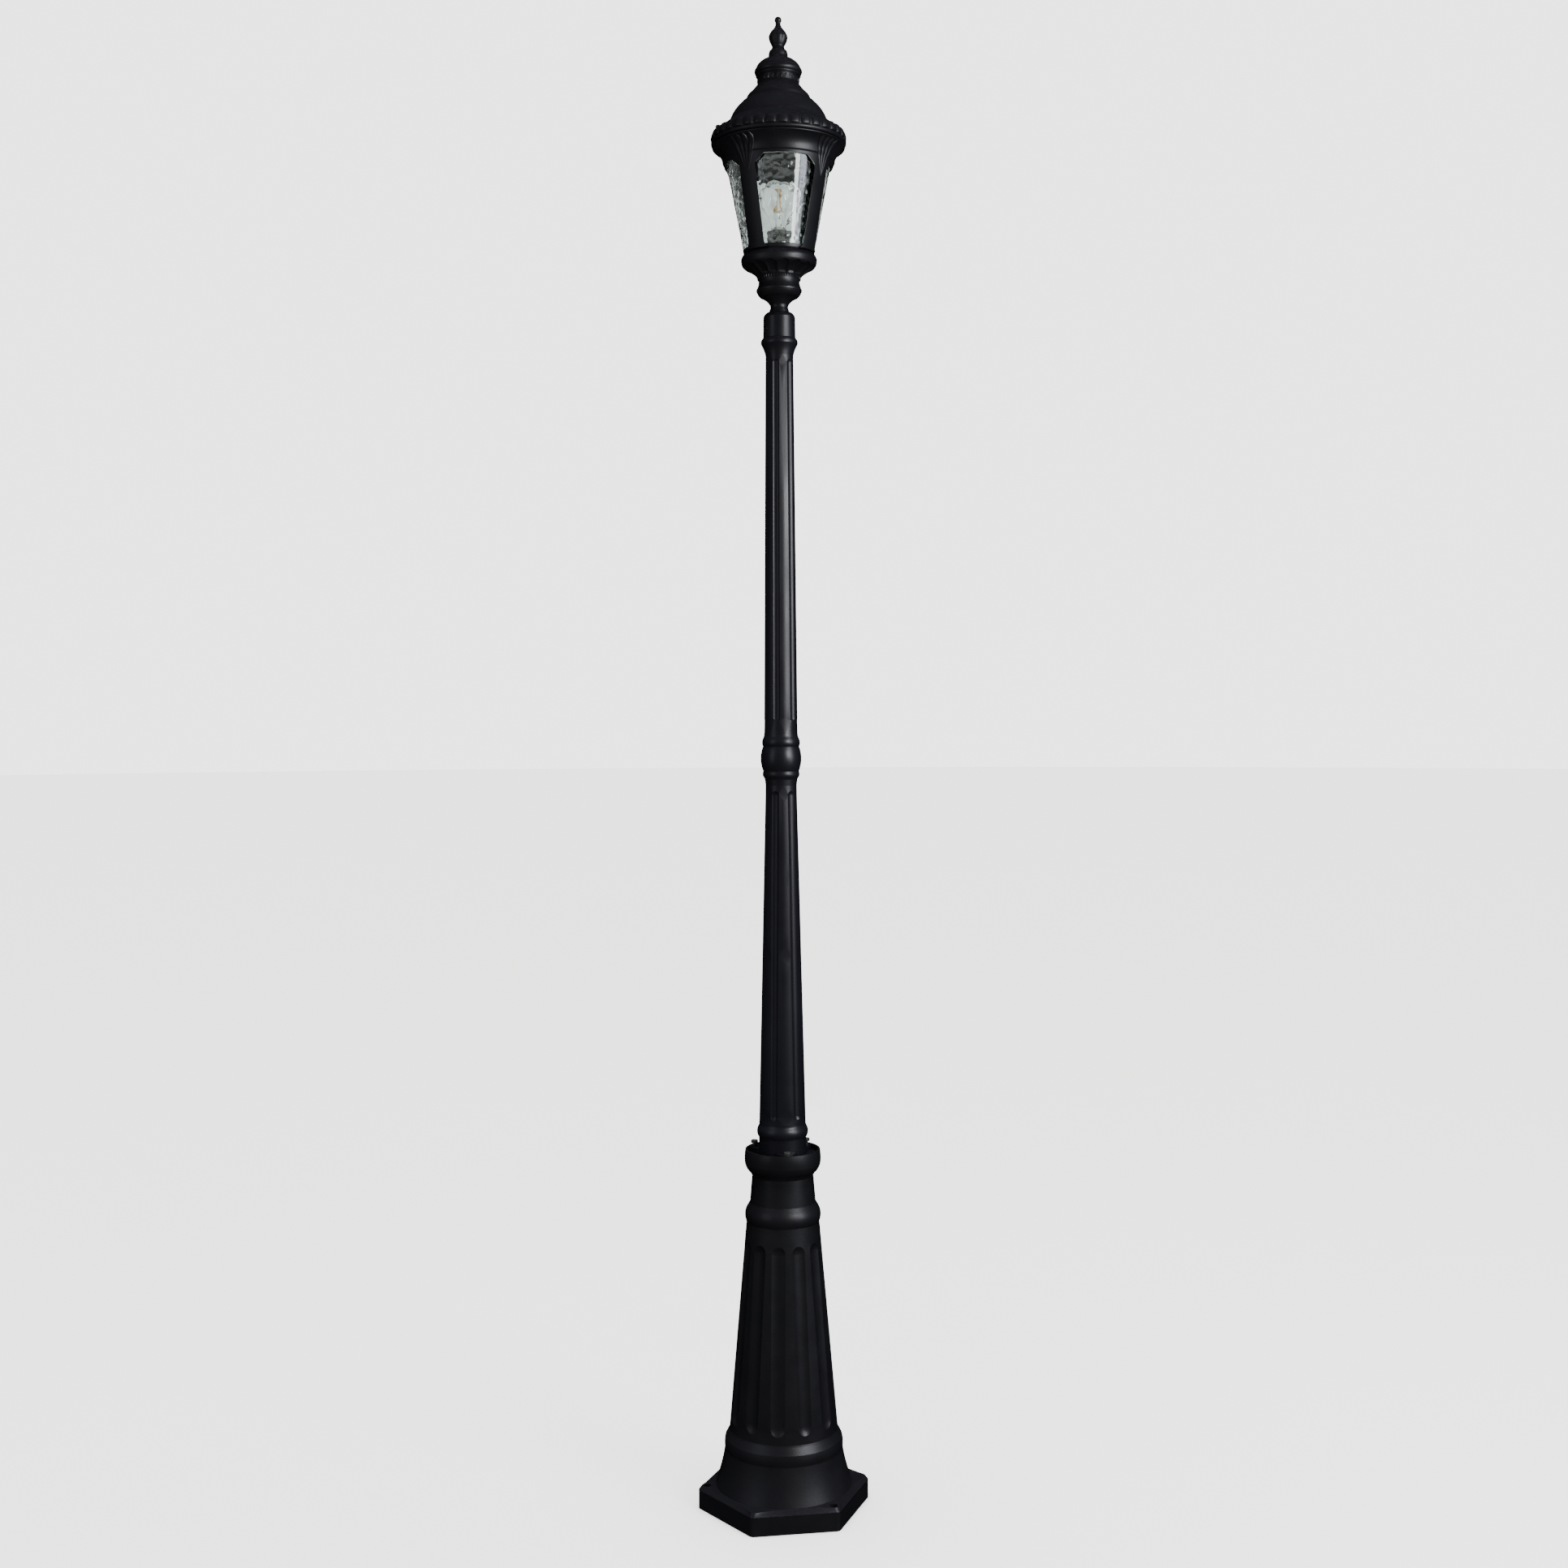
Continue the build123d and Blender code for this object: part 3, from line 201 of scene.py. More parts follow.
@dataclass(frozen=True)
class WaterGlassFinish(Finish):
    """Glass rolled on a rippled bed: round dimples with sharp ridges between, on top of the mesh's waves."""

    dimple_mm: float = 9.0

    def bump(self, tree: bpy.types.NodeTree, place: bpy.types.NodeSocket) -> bpy.types.NodeSocket:
        """Add the dimples of the rolled bed to a node tree.

        Args:
            tree: The material's node tree.
            place: The coordinates that the dimples follow.

        Returns:
            The normal output of the dimples' bump.
        """
        drift = add_node(tree, "ShaderNodeTexNoise", inputs={
            "Vector": place, "Scale": 1 / (1.6 * self.dimple_mm * MM), "Detail": 1.0})
        dimples = add_node(tree, "ShaderNodeTexVoronoi", {"feature": "SMOOTH_F1"}, {
            "Vector": place, "Scale": 1 / (self.dimple_mm * MM), "Smoothness": 0.6})
        height = add_node(tree, "ShaderNodeMath", {"operation": "ADD"}, {
            0: drift.outputs["Fac"], 1: dimples.outputs["Distance"]})
        return add_node(tree, "ShaderNodeBump", inputs={
            "Strength": 1.0, "Distance": self.grain_height_mm * MM,
            "Height": height.outputs["Value"]}).outputs["Normal"]


# Polyester powder baked on sand-cast aluminium: a satin black with a cool cast, faint orange peel
# from the powder's flow, and the slow unevenness of the casting under it. The real peel is about
# 1 mm across and is drawn at 2.4 mm so that it shows.
COATED_CASTING = Finish(
    "satin_black_powder_coat_on_cast_aluminium", "#0e0e11", "#121216", 0.42, 0.05,
    mottle_mm=45, grain_mm=2.4, grain_height_mm=0.09)
# The same powder on the drawn and fluted posts, which were smoother before they were coated.
COATED_POST = Finish(
    "satin_black_powder_coat_on_posts", "#0f0f14", "#13131a", 0.38, 0.05,
    mottle_mm=90, grain_mm=2.4, grain_height_mm=0.05, stretch=(1.0, 1.0, 0.6))
# Chemically blackened steel: near black, thin enough to keep a dull metal glint.
BLACKENED_STEEL = Finish(
    "blackened_steel", "#0f0f11", "#17171a", 0.42, 0.08, metallic=0.35, mottle_mm=6,
    grain_mm=0.8, grain_height_mm=0.01)
# Bright zinc with its pale blue passivation, which varies over a few millimetres.
ZINC_PLATE = Finish(
    "bright_zinc_plated_steel", "#b9bfc4", "#9fa9b3", 0.32, 0.08, metallic=1.0, mottle_mm=7,
    grain_mm=0.7, grain_height_mm=0.01)
# Turned brass: warm yellow with a dulled, slightly browner film.
BRASS = Finish(
    "turned_brass", "#c8a24e", "#a8843c", 0.28, 0.08, metallic=1.0, mottle_mm=9,
    grain_mm=0.6, grain_height_mm=0.008, stretch=(1.0, 1.0, 4.0))
# Rolled soda-lime glass: clear, with the green of its iron showing where it is thick.
WATER_GLASS = WaterGlassFinish(
    "rolled_water_glass", "#f2faf7", "#ecf8f3", 0.02, 0.01, ior=1.5, transmission=1.0,
    mottle_mm=40, grain_height_mm=0.06)
# Blown clear glass, smooth and very thin.
BULB_GLASS = Finish(
    "blown_clear_glass", "#ffffff", "#fbfdfd", 0.01, 0.005, ior=1.5, transmission=1.0,
    mottle_mm=30, grain_mm=20, grain_height_mm=0.02)
# Moulded nitrile rubber: matt, with a dry bloom.
RUBBER = Finish(
    "moulded_black_rubber", "#161616", "#222220", 0.78, 0.06, mottle_mm=9, grain_mm=0.5,
    grain_height_mm=0.02)
# Compression-moulded phenolic: brown black, glossy from the polished mould, faintly flecked.
PHENOLIC = Finish(
    "moulded_phenolic", "#15110f", "#231a16", 0.3, 0.06, mottle_mm=3, grain_mm=0.9,
    grain_height_mm=0.008)
# Nickel on the bulb's cap: a warm grey metal, lightly scuffed round its thread.
NICKEL_PLATE = Finish(
    "nickel_plated_brass", "#c9c5bb", "#aaa69c", 0.24, 0.08, metallic=1.0, mottle_mm=5,
    grain_mm=0.6, grain_height_mm=0.01)
# The silicone and phosphor coat of a filament: a matt, even amber with small grains.
AMBER_PHOSPHOR = Finish(
    "amber_phosphor_silicone", "#d98a22", "#e8a23c", 0.5, 0.05, mottle_mm=2, grain_mm=0.4,
    grain_height_mm=0.02)
# Soft PVC sheath: black, semi-matt, with fine lines along it from the extruder.
CABLE_SHEATH = Finish(
    "extruded_pvc_sheath", "#191919", "#232323", 0.5, 0.05, mottle_mm=12, grain_mm=0.8,
    grain_height_mm=0.015, stretch=(1.0, 1.0, 0.05))
# Moulded polyamide: ivory, semi-matt.
TERMINAL_PLASTIC = Finish(
    "moulded_polyamide", "#e4e0d2", "#d9d4c4", 0.45, 0.05, mottle_mm=10, grain_mm=0.6,
    grain_height_mm=0.01)
# Painted studio board: pale and matt, with a barely uneven coat.
STUDIO_FLOOR = Finish(
    "matt_white_studio_floor", "#f4f4f3", "#f0f0ef", 0.75, 0.03, specular=0.2, mottle_mm=900,
    grain_mm=40, grain_height_mm=0.02)

SLOT_FINISH: dict[Slot, Finish] = {
    Slot.BLACK_POWDER_COAT: COATED_CASTING,
    Slot.BLACKENED_STEEL: BLACKENED_STEEL,
    Slot.ZINC: ZINC_PLATE,
    Slot.BRASS: BRASS,
    Slot.WATER_GLASS: WATER_GLASS,
    Slot.BULB_GLASS: BULB_GLASS,
    Slot.RUBBER: RUBBER,
    Slot.PHENOLIC: PHENOLIC,
    Slot.NICKEL: NICKEL_PLATE,
    Slot.PHOSPHOR: AMBER_PHOSPHOR,
    Slot.SHEATH: CABLE_SHEATH,
    Slot.TERMINAL: TERMINAL_PLASTIC,
}


# ---------------------------------------------------------------- mesh tools
def bowed_edge(start: Point, end: Point, bow: float, steps: int) -> list[Point]:
    """Points along one edge of a section, without its last point.

    Args:
        start: Radius and height where the edge starts.
        end: Radius and height where it ends.
        bow: How far the edge bows to the right of its run; outwards on an edge that goes up.
        steps: Number of spans that a bowed edge is divided into.

    Returns:
        The edge's points from its start.
    """
    along = Vector((end[0] - start[0], end[1] - start[1]))
    chord = along.length
    if bow == 0 or chord == 0:
        return [start]
    along.normalize()
    across = Vector((along.y, -along.x))
    radius = (chord * chord / 4 + bow * bow) / (2 * bow)
    half_sweep = 2 * math.atan(2 * abs(bow) / chord)
    centre = (Vector(start) + Vector(end)) / 2 + across * (bow - radius)
    run = []
    for step in range(steps):
        turn = half_sweep * (2 * step / steps - 1)
        spot = centre + across * (radius * math.cos(turn)) + along * (abs(radius) * math.sin(turn))
        run.append((spot.x, spot.y))
    return run


def soften(points: Sequence[Point], radius: float) -> list[Point]:
    """Round the corners of a closed section that turn by more than a few degrees.

    Args:
        points: The section's points in order.
        radius: Distance from a corner at which its rounding starts.

    Returns:
        The section with each such corner made three points.
    """
    softened: list[Point] = []
    for number, here in enumerate(points):
        corner = Vector(here)
        before = Vector(points[number - 1]) - corner
        after = Vector(points[(number + 1) % len(points)]) - corner
        if corner.x < 1e-6 or before.length < 1e-6 or after.length < 1e-6:
            softened.append(here)
            continue
        if math.degrees(before.angle(-after)) < 20:
            softened.append(here)
            continue
        reach = min(radius, 0.3 * before.length, 0.3 * after.length)
        start = corner + before.normalized() * reach
        end = corner + after.normalized() * reach
        middle = corner * 0.5 + start * 0.25 + end * 0.25
        softened.extend((spot.x, spot.y) for spot in (start, middle, end))
    return softened


def divide(points: Sequence[Point], longest: float) -> list[Point]:
    """Divide the straight runs of a closed section so that none is longer than a given length.

    Args:
        points: The section's points in order.
        longest: The longest run that is left.

    Returns:
        The section with the extra points.
    """
    divided: list[Point] = []
    for number, here in enumerate(points):
        there = points[(number + 1) % len(points)]
        spans = max(1, math.ceil(math.dist(here, there) / longest))
        for span in range(spans):
            share = span / spans
            divided.append((
                here[0] + (there[0] - here[0]) * share, here[1] + (there[1] - here[1]) * share))
    return divided


def link(name: str, data: bpy.types.ID) -> bpy.types.Object:
    """Put data into the scene as an object of a given name, at the origin."""
    thing = bpy.data.objects.new(name, data)
    bpy.context.scene.collection.objects.link(thing)
    return thing


def prism_faces(count: int, base: int = 0) -> list[Face]:
    """Faces of a prism whose two ends have the same number of points, one end after the other.

    Args:
        count: Number of points of each end.
        base: Number of its first point.

    Returns:
        Both ends and the sides between them.
    """
    faces: list[Face] = [tuple(range(base, base + count)), tuple(range(base + count, base + 2 * count))]
    for here in range(count):
        there = (here + 1) % count
        faces.append((base + here, base + there, base + count + there, base + count + here))
    return faces


def layered_faces(across: int, along: int) -> list[Face]:
    """Faces of a plate made of two grids of points, one layer after the other.

    Args:
        across: Points in each row.
        along: Number of rows.

    Returns:
        Both grids and the edge between them.
    """
    count = across * along
    faces: list[Face] = []
    for row in range(along - 1):
        for column in range(across - 1):
            a = row * across + column
            b = a + across
            faces.append((a, a + 1, b + 1, b))
            faces.append((count + a, count + b, count + b + 1, count + a + 1))
    border = [row * across for row in range(along)]
    border += [(along - 1) * across + column for column in range(1, across)]
    border += [row * across + across - 1 for row in range(along - 2, -1, -1)]
    border += list(range(across - 2, 0, -1))
    for here, there in zip(border, border[1:] + border[:1]):
        faces.append((here, there, count + there, count + here))
    return faces


def make_object(
    name: str,
    verts: Iterable[Sequence[float]],
    faces: Iterable[Sequence[int]],
) -> bpy.types.Object:
    """Make a closed mesh object from points in millimetres, with its faces pointing outwards.

    Args:
        name: The piece's name.
        verts: Its points.
        faces: Its faces as point numbers.

    Returns:
        The object, linked to the scene, at the origin.
    """
    mesh = bpy.data.meshes.new(name)
    mesh.from_pydata([tuple(value * MM for value in vert) for vert in verts], [], list(faces))
    tool = bmesh.new()
    tool.from_mesh(mesh)
    bmesh.ops.remove_doubles(tool, verts=tool.verts, dist=1e-7)
    bmesh.ops.recalc_face_normals(tool, faces=tool.faces)
    tool.to_mesh(mesh)
    tool.free()
    return link(name, mesh)


def smooth(piece: bpy.types.Object, crease_degrees: float = 32.0) -> bpy.types.Object:
    """Shade a piece smooth, apart from edges sharper than a given angle; returns the piece."""
    piece.data.shade_smooth()
    piece.data.set_sharp_from_angle(angle=math.radians(crease_degrees))
    return piece


def unchanged(angle: float, radius: float, height: float) -> Point:
    """The relief of a plain turned surface."""
    return (radius, height)


@dataclass
class Turning:
    """A closed section turned round the lamp's axis, with a relief that may shape it on the way."""

    name: str
    stations: list[Station]
    columns: int = 128
    corner: float = 0.7
    arc_steps: int = 10
    longest: float = 400.0
    relief: Relief = unchanged

    def build(self) -> bpy.types.Object:
        """Make the turned object.

        Returns:
            The object, closed and facing outwards.
        """
        outline: list[Point] = []
        for here, there in zip(self.stations, self.stations[1:] + self.stations[:1]):
            outline.extend(bowed_edge(here[:2], there[:2], here[2], self.arc_steps))
        outline = divide(soften(outline, self.corner), self.longest)
        rows = len(outline)
        verts = []
        faces = []
        for column in range(self.columns):
            angle = 2 * math.pi * column / self.columns
            beside = (column + 1) % self.columns
            for row, (radius, height) in enumerate(outline):
                reach, level = self.relief(angle, radius, height)
                verts.append((reach * math.cos(angle), reach * math.sin(angle), level))
                above = (row + 1) % rows
                start, end = column * rows, beside * rows
                faces.append((start + row, end + row, end + above, start + above))
        return smooth(make_object(self.name, verts, faces))


def join(name: str, pieces: Sequence[bpy.types.Object]) -> bpy.types.Object:
    """Join closed shells into one piece.

    Args:
        name: The joined piece's name.
        pieces: The objects to join; only the first one is kept.

    Returns:
        The joined object.
    """
    tool = bmesh.new()
    for piece in pieces:
        tool.from_mesh(piece.data)
    joined = pieces[0]
    tool.to_mesh(joined.data)
    tool.free()
    for piece in pieces[1:]:
        bpy.data.objects.remove(piece)
    joined.name = name
    joined.data.name = name
    return joined


def settle(piece: bpy.types.Object) -> bpy.types.Object:
    """Turn a piece's modifiers into a plain mesh.

    Args:
        piece: The object with live modifiers.

    Returns:
        The same object with the evaluated mesh and no modifiers.
    """
    bpy.context.view_layer.update()
    evaluated = piece.evaluated_get(bpy.context.evaluated_depsgraph_get())
    mesh = bpy.data.meshes.new_from_object(evaluated)
    piece.modifiers.clear()
    piece.data = mesh
    mesh.name = piece.name
    return piece


def carve(piece: bpy.types.Object, cutter: bpy.types.Object) -> bpy.types.Object:
    """Cut one closed object out of another, and drop the cutter; returns the first."""
    cut = piece.modifiers.new("carve", "BOOLEAN")
    cut.object = cutter
    cut.operation = "DIFFERENCE"
    cut.solver = "EXACT"
    settle(piece)
    bpy.data.objects.remove(cutter)
    return piece


def ring_tree() -> bpy.types.NodeTree:
    """The Geometry Nodes tree that repeats a piece round the lamp's axis.

    Returns:
        The tree, built once, with inputs Count, First Angle and Finish.
    """
    ready = bpy.data.node_groups.get("repeat_round_axis")
    if ready is not None:
        return ready
    tree = bpy.data.node_groups.new("repeat_round_axis", "GeometryNodeTree")
    sockets = {"Geometry": "Geometry", "Count": "Int", "First Angle": "Float", "Finish": "Material"}
    for name, kind in sockets.items():
        tree.interface.new_socket(name, in_out="INPUT", socket_type=f"NodeSocket{kind}")
    tree.interface.new_socket("Geometry", in_out="OUTPUT", socket_type="NodeSocketGeometry")
    given = add_node(tree, "NodeGroupInput").outputs
    places = add_node(tree, "GeometryNodeMeshLine", {"mode": "OFFSET"}, {
        "Count": given["Count"], "Offset": (0.0, 0.0, 0.0)})
    number = add_node(tree, "GeometryNodeInputIndex")
    pitch = add_node(tree, "ShaderNodeMath", {"operation": "DIVIDE"}, {0: 2 * math.pi, 1: given["Count"]})
    angle = add_node(tree, "ShaderNodeMath", {"operation": "MULTIPLY_ADD"}, {
        0: number.outputs["Index"], 1: pitch.outputs["Value"], 2: given["First Angle"]})
    turn = add_node(tree, "ShaderNodeCombineXYZ", inputs={"Z": angle.outputs["Value"]})
    repeated = add_node(tree, "GeometryNodeInstanceOnPoints", inputs={
        "Points": places.outputs["Mesh"], "Instance": given["Geometry"], "Rotation": turn.outputs["Vector"]})
    real = add_node(tree, "GeometryNodeRealizeInstances", inputs={"Geometry": repeated.outputs["Instances"]})
    dressed = add_node(tree, "GeometryNodeSetMaterial", inputs={
        "Geometry": real.outputs["Geometry"], "Material": given["Finish"]})
    add_node(tree, "NodeGroupOutput", inputs={"Geometry": dressed.outputs["Geometry"]})
    return tree


def repeat_round(
    piece: bpy.types.Object,
    count: int,
    first_degrees: float,
    finish: Finish,
) -> bpy.types.Object:
    """Repeat a piece round the axis with Geometry Nodes, and make the result a plain mesh.

    Args:
        piece: The object to repeat.
        count: How many there are.
        first_degrees: How far round the first one stands.
        finish: The finish of all of them.

    Returns:
        The same object, now holding every copy.
    """
    tree = ring_tree()
    modifier = piece.modifiers.new("repeat", "NODES")
    modifier.node_group = tree
    values = {
        "Count": count,
        "First Angle": math.radians(first_degrees),
        "Finish": finish.material(),
    }
    for socket in tree.interface.items_tree:
        if socket.in_out == "INPUT" and socket.name in values:
            modifier[socket.identifier] = values[socket.name]
    return smooth(settle(piece))


def sweep_rod(
    name: str,
    path: Sequence[Vector],
    sizes: Sequence[tuple[float, float]],
    outward: Callable[[Vector], Vector],
    sides: int = 10,
) -> bpy.types.Object:
    """Make a closed rod with an oval section that follows a path.

    Args:
        name: The piece's name.
        path: The middle of the rod.
        sizes: Half width and half height of the oval at each point of the path.
        outward: Gives the direction of the oval's height at a point.
        sides: Number of sides of the oval.

    Returns:
        The rod as an object.
    """
    verts: list[Vector] = []
    faces: list[Face] = []
    for number, spot in enumerate(path):
        run = (path[min(number + 1, len(path) - 1)] - path[max(number - 1, 0)]).normalized()
        up = outward(spot)
        up = (up - run * up.dot(run)).normalized()
        aside = run.cross(up)
        width, height = sizes[number]
        for side in range(sides):
            angle = 2 * math.pi * side / sides
            verts.append(spot + aside * (width * math.cos(angle)) + up * (height * math.sin(angle)))
    for number in range(len(path) - 1):
        for side in range(sides):
            beside = (side + 1) % sides
            base = number * sides
            faces.append((base + side, base + beside, base + sides + beside, base + sides + side))
    last = (len(path) - 1) * sides
    faces.append(tuple(range(sides)))
    faces.append(tuple(range(last, last + sides)))
    return smooth(make_object(name, verts, faces))


def dress(piece: bpy.types.Object, finish: Finish) -> None:
    """Give every face of a piece one finish."""
    piece.data.materials.clear()
    piece.data.materials.append(finish.material())


def stand_for(piece: bpy.types.Object, body: Body, slot: Slot, *nodes: str) -> None:
    """Dress a finished piece and put it in the place of CAD nodes, on their body.

    Args:
        piece: The piece in its place.
        body: The body that it rides on.
        slot: The record's material slot, which gives its finish.
        nodes: The CAD nodes that it replaces.
    """
    dress(piece, SLOT_FINISH[slot])
    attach(piece, body.value)
    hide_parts(*nodes)
    LOG.info("%s: %d faces on %s", piece.name, len(piece.data.polygons), body.value)


def level_of(node: str, top: bool = False) -> float:
    """Lowest (or highest) level of a CAD node, in millimetres."""
    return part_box(node)[1 if top else 0].z / MM


def screw_bars(name: str, circle: float, radius: float, low: float, high: float) -> bpy.types.Object:
    """Make the left and right upright bars that carve or line the thumbscrews' holes.

    Args:
        name: The object's name.
        circle: Radius of the circle that they stand on.
        radius: Their own radius.
        low: Their foot.
        high: Their head.

    Returns:
        Both bars as one object.
    """
    sides = 40
    verts = []
    faces: list[Face] = []
    for middle in (-circle, circle):
        faces += prism_faces(sides, len(verts))
        for height in (low, high):
            for side in range(sides):
                angle = 2 * math.pi * side / sides
                verts.append((middle + radius * math.cos(angle), radius * math.sin(angle), height))
    return make_object(name, verts, faces)


@dataclass
class Casting:
    """A sub-assembly that stands where one CAD node does and takes its levels from it."""

    node: ClassVar[str] = ""
    foot: float = field(init=False)
    top: float = field(init=False)

    def __post_init__(self) -> None:
        """Take the lowest and highest level from the frame."""
        self.foot = level_of(self.node)
        self.top = level_of(self.node, top=True)


# ---------------------------------------------------------------- lantern: roof
@dataclass
class Roof(Casting):
    """The cast roof: a double-curved hood with a gadrooned rim and a ribbed neck."""

    node: ClassVar[str] = "roof"
    rim_radius: float = 105.5
    crown_radius: float = 103.0
    lip_radius: float = 83.7
    lip_width: float = 3.0
    lip_depth: float = 6.0
    neck_radius: float = 32.5
    rod_bore: float = 4.3
    boss_height: float = 16.0
    wall: float = 4.0
    gadroons: int = 36
    gadroon_height: float = 3.0
    gadroon_gap: float = 1.2
    gadroon_belly: float = 1.1
    gadroon_taper: float = 0.07
    gadroon_sink: float = 0.7
    gadroon_root: float = 2.4
    gadroon_start_degrees: float = 5.0
    neck_ribs: int = 28
    neck_rib_width: float = 3.4
    neck_rib_height: float = 1.0
    screw_circle: float = 94.0
    seat_rise: float = 24.5
    seat_radius: float = 5.0
    seat_depth: float = 19.5
    pocket_radius: float = 4.6
    pocket_depth: float = 12.0
    screw_hole: float = 2.1

    @property
    def floor(self) -> float:
        """Level of the rim's underside, above the lip."""
        return self.foot + self.lip_depth

    def hood(self) -> bpy.types.Object:
        """Turn the hood with its lip, boss and hollow.

        Returns:
            The plain hood, with a shallow channel where the gadroons sit.
        """
        rim, neck, base, top = self.rim_radius, self.neck_radius, self.floor, self.top
        lip_bore = self.lip_radius - self.lip_width
        return Turning("roof_hood", [
            (lip_bore, base - self.lip_depth, 0),
            (self.lip_radius, base - self.lip_depth, 0),
            (self.lip_radius, base, 0),
            (self.crown_radius, base, 0),
            (rim - 1.6, base + 1.2, 0.5),
            (rim - 1.0, base + 5.0, 0),
            (rim - 2.4, base + 6.0, 1.0),
            (rim - 5.2, base + 19.0, 0),
            (rim - 6.8, base + 20.4, 0.5),
            (rim - 9.5, base + 22.5, 0),
            (rim - 12.5, base + 24.2, -0.5),
            (rim - 29.5, base + 38, 2.2),
            (rim - 47, base + 64.5, 0.8),
            (rim - 55, base + 70.5, 0),
            (rim - 55.5, base + 72.5, 0.7),
            (neck + 13.5, base + 80, -0.5),
            (neck + 2, base + 93, -0.3),
            (neck + 0.4, base + 95.6, 0),
            (neck - 0.4, base + 97.2, 0),
            (neck - 0.4, top - 1.6, 0),
            (neck + 1.2, top - 0.8, 0),
            (neck + 1.2, top, 0),
            (self.rod_bore, top, 0),
            (self.rod_bore, top - self.boss_height, 0),
            (neck - 9, top - self.boss_height, 0),
            (neck + 13 - 2 * self.wall, base + 78, 0),
            (rim - 56 - self.wall, base + 69, 0),
            (rim - 46 - self.wall, base + 61, -2.2),
            (rim - 29.5 - self.wall, base + 37, 0),
            (lip_bore, base + 23, 0),
        ], columns=192, corner=0.6).build()

    def gadroon(self) -> bpy.types.Object:
        """Make one pillow of the rim on the +X side, following the rim's section.

        Returns:
            The pillow as a closed object.
        """
        across, along = 11, 13
        rim, base = self.rim_radius, self.floor
        half_width = math.pi * (rim - 4) / self.gadroons - self.gadroon_gap / 2
        foot = Vector((rim - 2.0, base + 5.8))
        head = Vector((rim - 6.8, base + 21.4))
        run = (head - foot).normalized()
        out = Vector((run.y, -run.x))
        outer: list[tuple[float, float, float]] = []
        inner: list[tuple[float, float, float]] = []
        for row in range(along):
            v = 2 * row / (along - 1) - 1
            middle = foot.lerp(head, (v + 1) / 2) + out * (self.gadroon_belly * (1 - v * v))
            taper = 1 - self.gadroon_taper * (v + 1) / 2
            round_end = (1 - abs(v) ** 5) ** 0.5
            for column in range(across):
                u = math.sin(math.pi / 2 * (2 * column / (across - 1) - 1))
                side = u * half_width * taper * (0.72 + 0.28 * round_end)
                rise = self.gadroon_height * math.sqrt(max(0.0, 1 - abs(u) ** 2.2)) * round_end
                spot = middle + out * (rise - self.gadroon_sink)
                back = middle - out * self.gadroon_root
                outer.append((math.sqrt(max(0, spot.x**2 - side**2)), side, spot.y))
                inner.append((math.sqrt(max(0, back.x**2 - side**2)), side, back.y))
        return make_object("roof_gadroon", outer + inner, layered_faces(across, along))

    def neck_rib(self) -> bpy.types.Object:
        """Make one upright rib of the neck on the +X side.

        Returns:
            The rib as a closed rod with rounded ends.
        """
        low, high = self.floor + 98.2, self.top - 2.2
        path = [Vector((self.neck_radius - 0.4, 0, low + (high - low) * step / 6)) for step in range(7)]
        shares = [0.45, 0.85, 1.0, 1.0, 1.0, 0.85, 0.45]
        sizes = [(self.neck_rib_width / 2 * share, self.neck_rib_height * share) for share in shares]
        return sweep_rod("roof_neck_rib", path, sizes, lambda spot: Vector((1, 0, 0)), sides=8)

    def build(self) -> None:
        """Build the roof and put it in the CAD roof's place."""
        hood = self.hood()
        seat = self.floor + self.seat_rise
        circle, hole = self.screw_circle, self.screw_hole
        carve(hood, screw_bars("roof_pockets", circle, self.pocket_radius, seat, seat + self.pocket_depth))
        bosses = screw_bars("roof_bosses", circle, self.seat_radius, seat - self.seat_depth, seat)
        for pierced in (bosses, hood):
            carve(pierced, screw_bars("roof_holes", circle, hole, self.floor - 1, seat + 1))
        gadroons = repeat_round(
            self.gadroon(), self.gadroons, self.gadroon_start_degrees, COATED_CASTING)
        ribs = repeat_round(self.neck_rib(), self.neck_ribs, 0.0, COATED_CASTING)
        roof = smooth(join("lantern_roof", [hood, gadroons, ribs, bosses]))
        stand_for(roof, Body.ROOF, Slot.BLACK_POWDER_COAT, "roof")


# ---------------------------------------------------------------- lantern: chimney cap and finial
@dataclass
class ChimneyCap(Casting):
    """The domed cap between the roof's neck and the finial."""

    node: ClassVar[str] = "chimney_cap"
    neck_radius: float = 33.7
    rod_bore: float = 4.3
    hollow: float = 20.0

    def build(self) -> None:
        """Build the cap and put it in the CAD cap's place."""
        foot, neck = self.foot, self.neck_radius
        cap = Turning("lantern_chimney_cap", [
            (self.hollow, foot, 0),
            (neck, foot, 0.5),
            (neck + 1.4, foot + 2.6, 0),
            (neck + 0.8, foot + 3.4, 1.6),
            (neck + 2.3, foot + 11.2, 0),
            (neck + 0.9, foot + 12.2, 0),
            (neck + 0.7, foot + 14, 0.9),
            (neck - 7.2, foot + 23.5, 0.3),
            (neck - 11.7, foot + 26, 0),
            (self.rod_bore, foot + 26, 0),
            (self.rod_bore, foot + 10, 0),
            (self.hollow, foot + 10, 0),
        ], columns=144, corner=0.5).build()
        stand_for(cap, Body.ROOF, Slot.BLACK_POWDER_COAT, "chimney_cap")


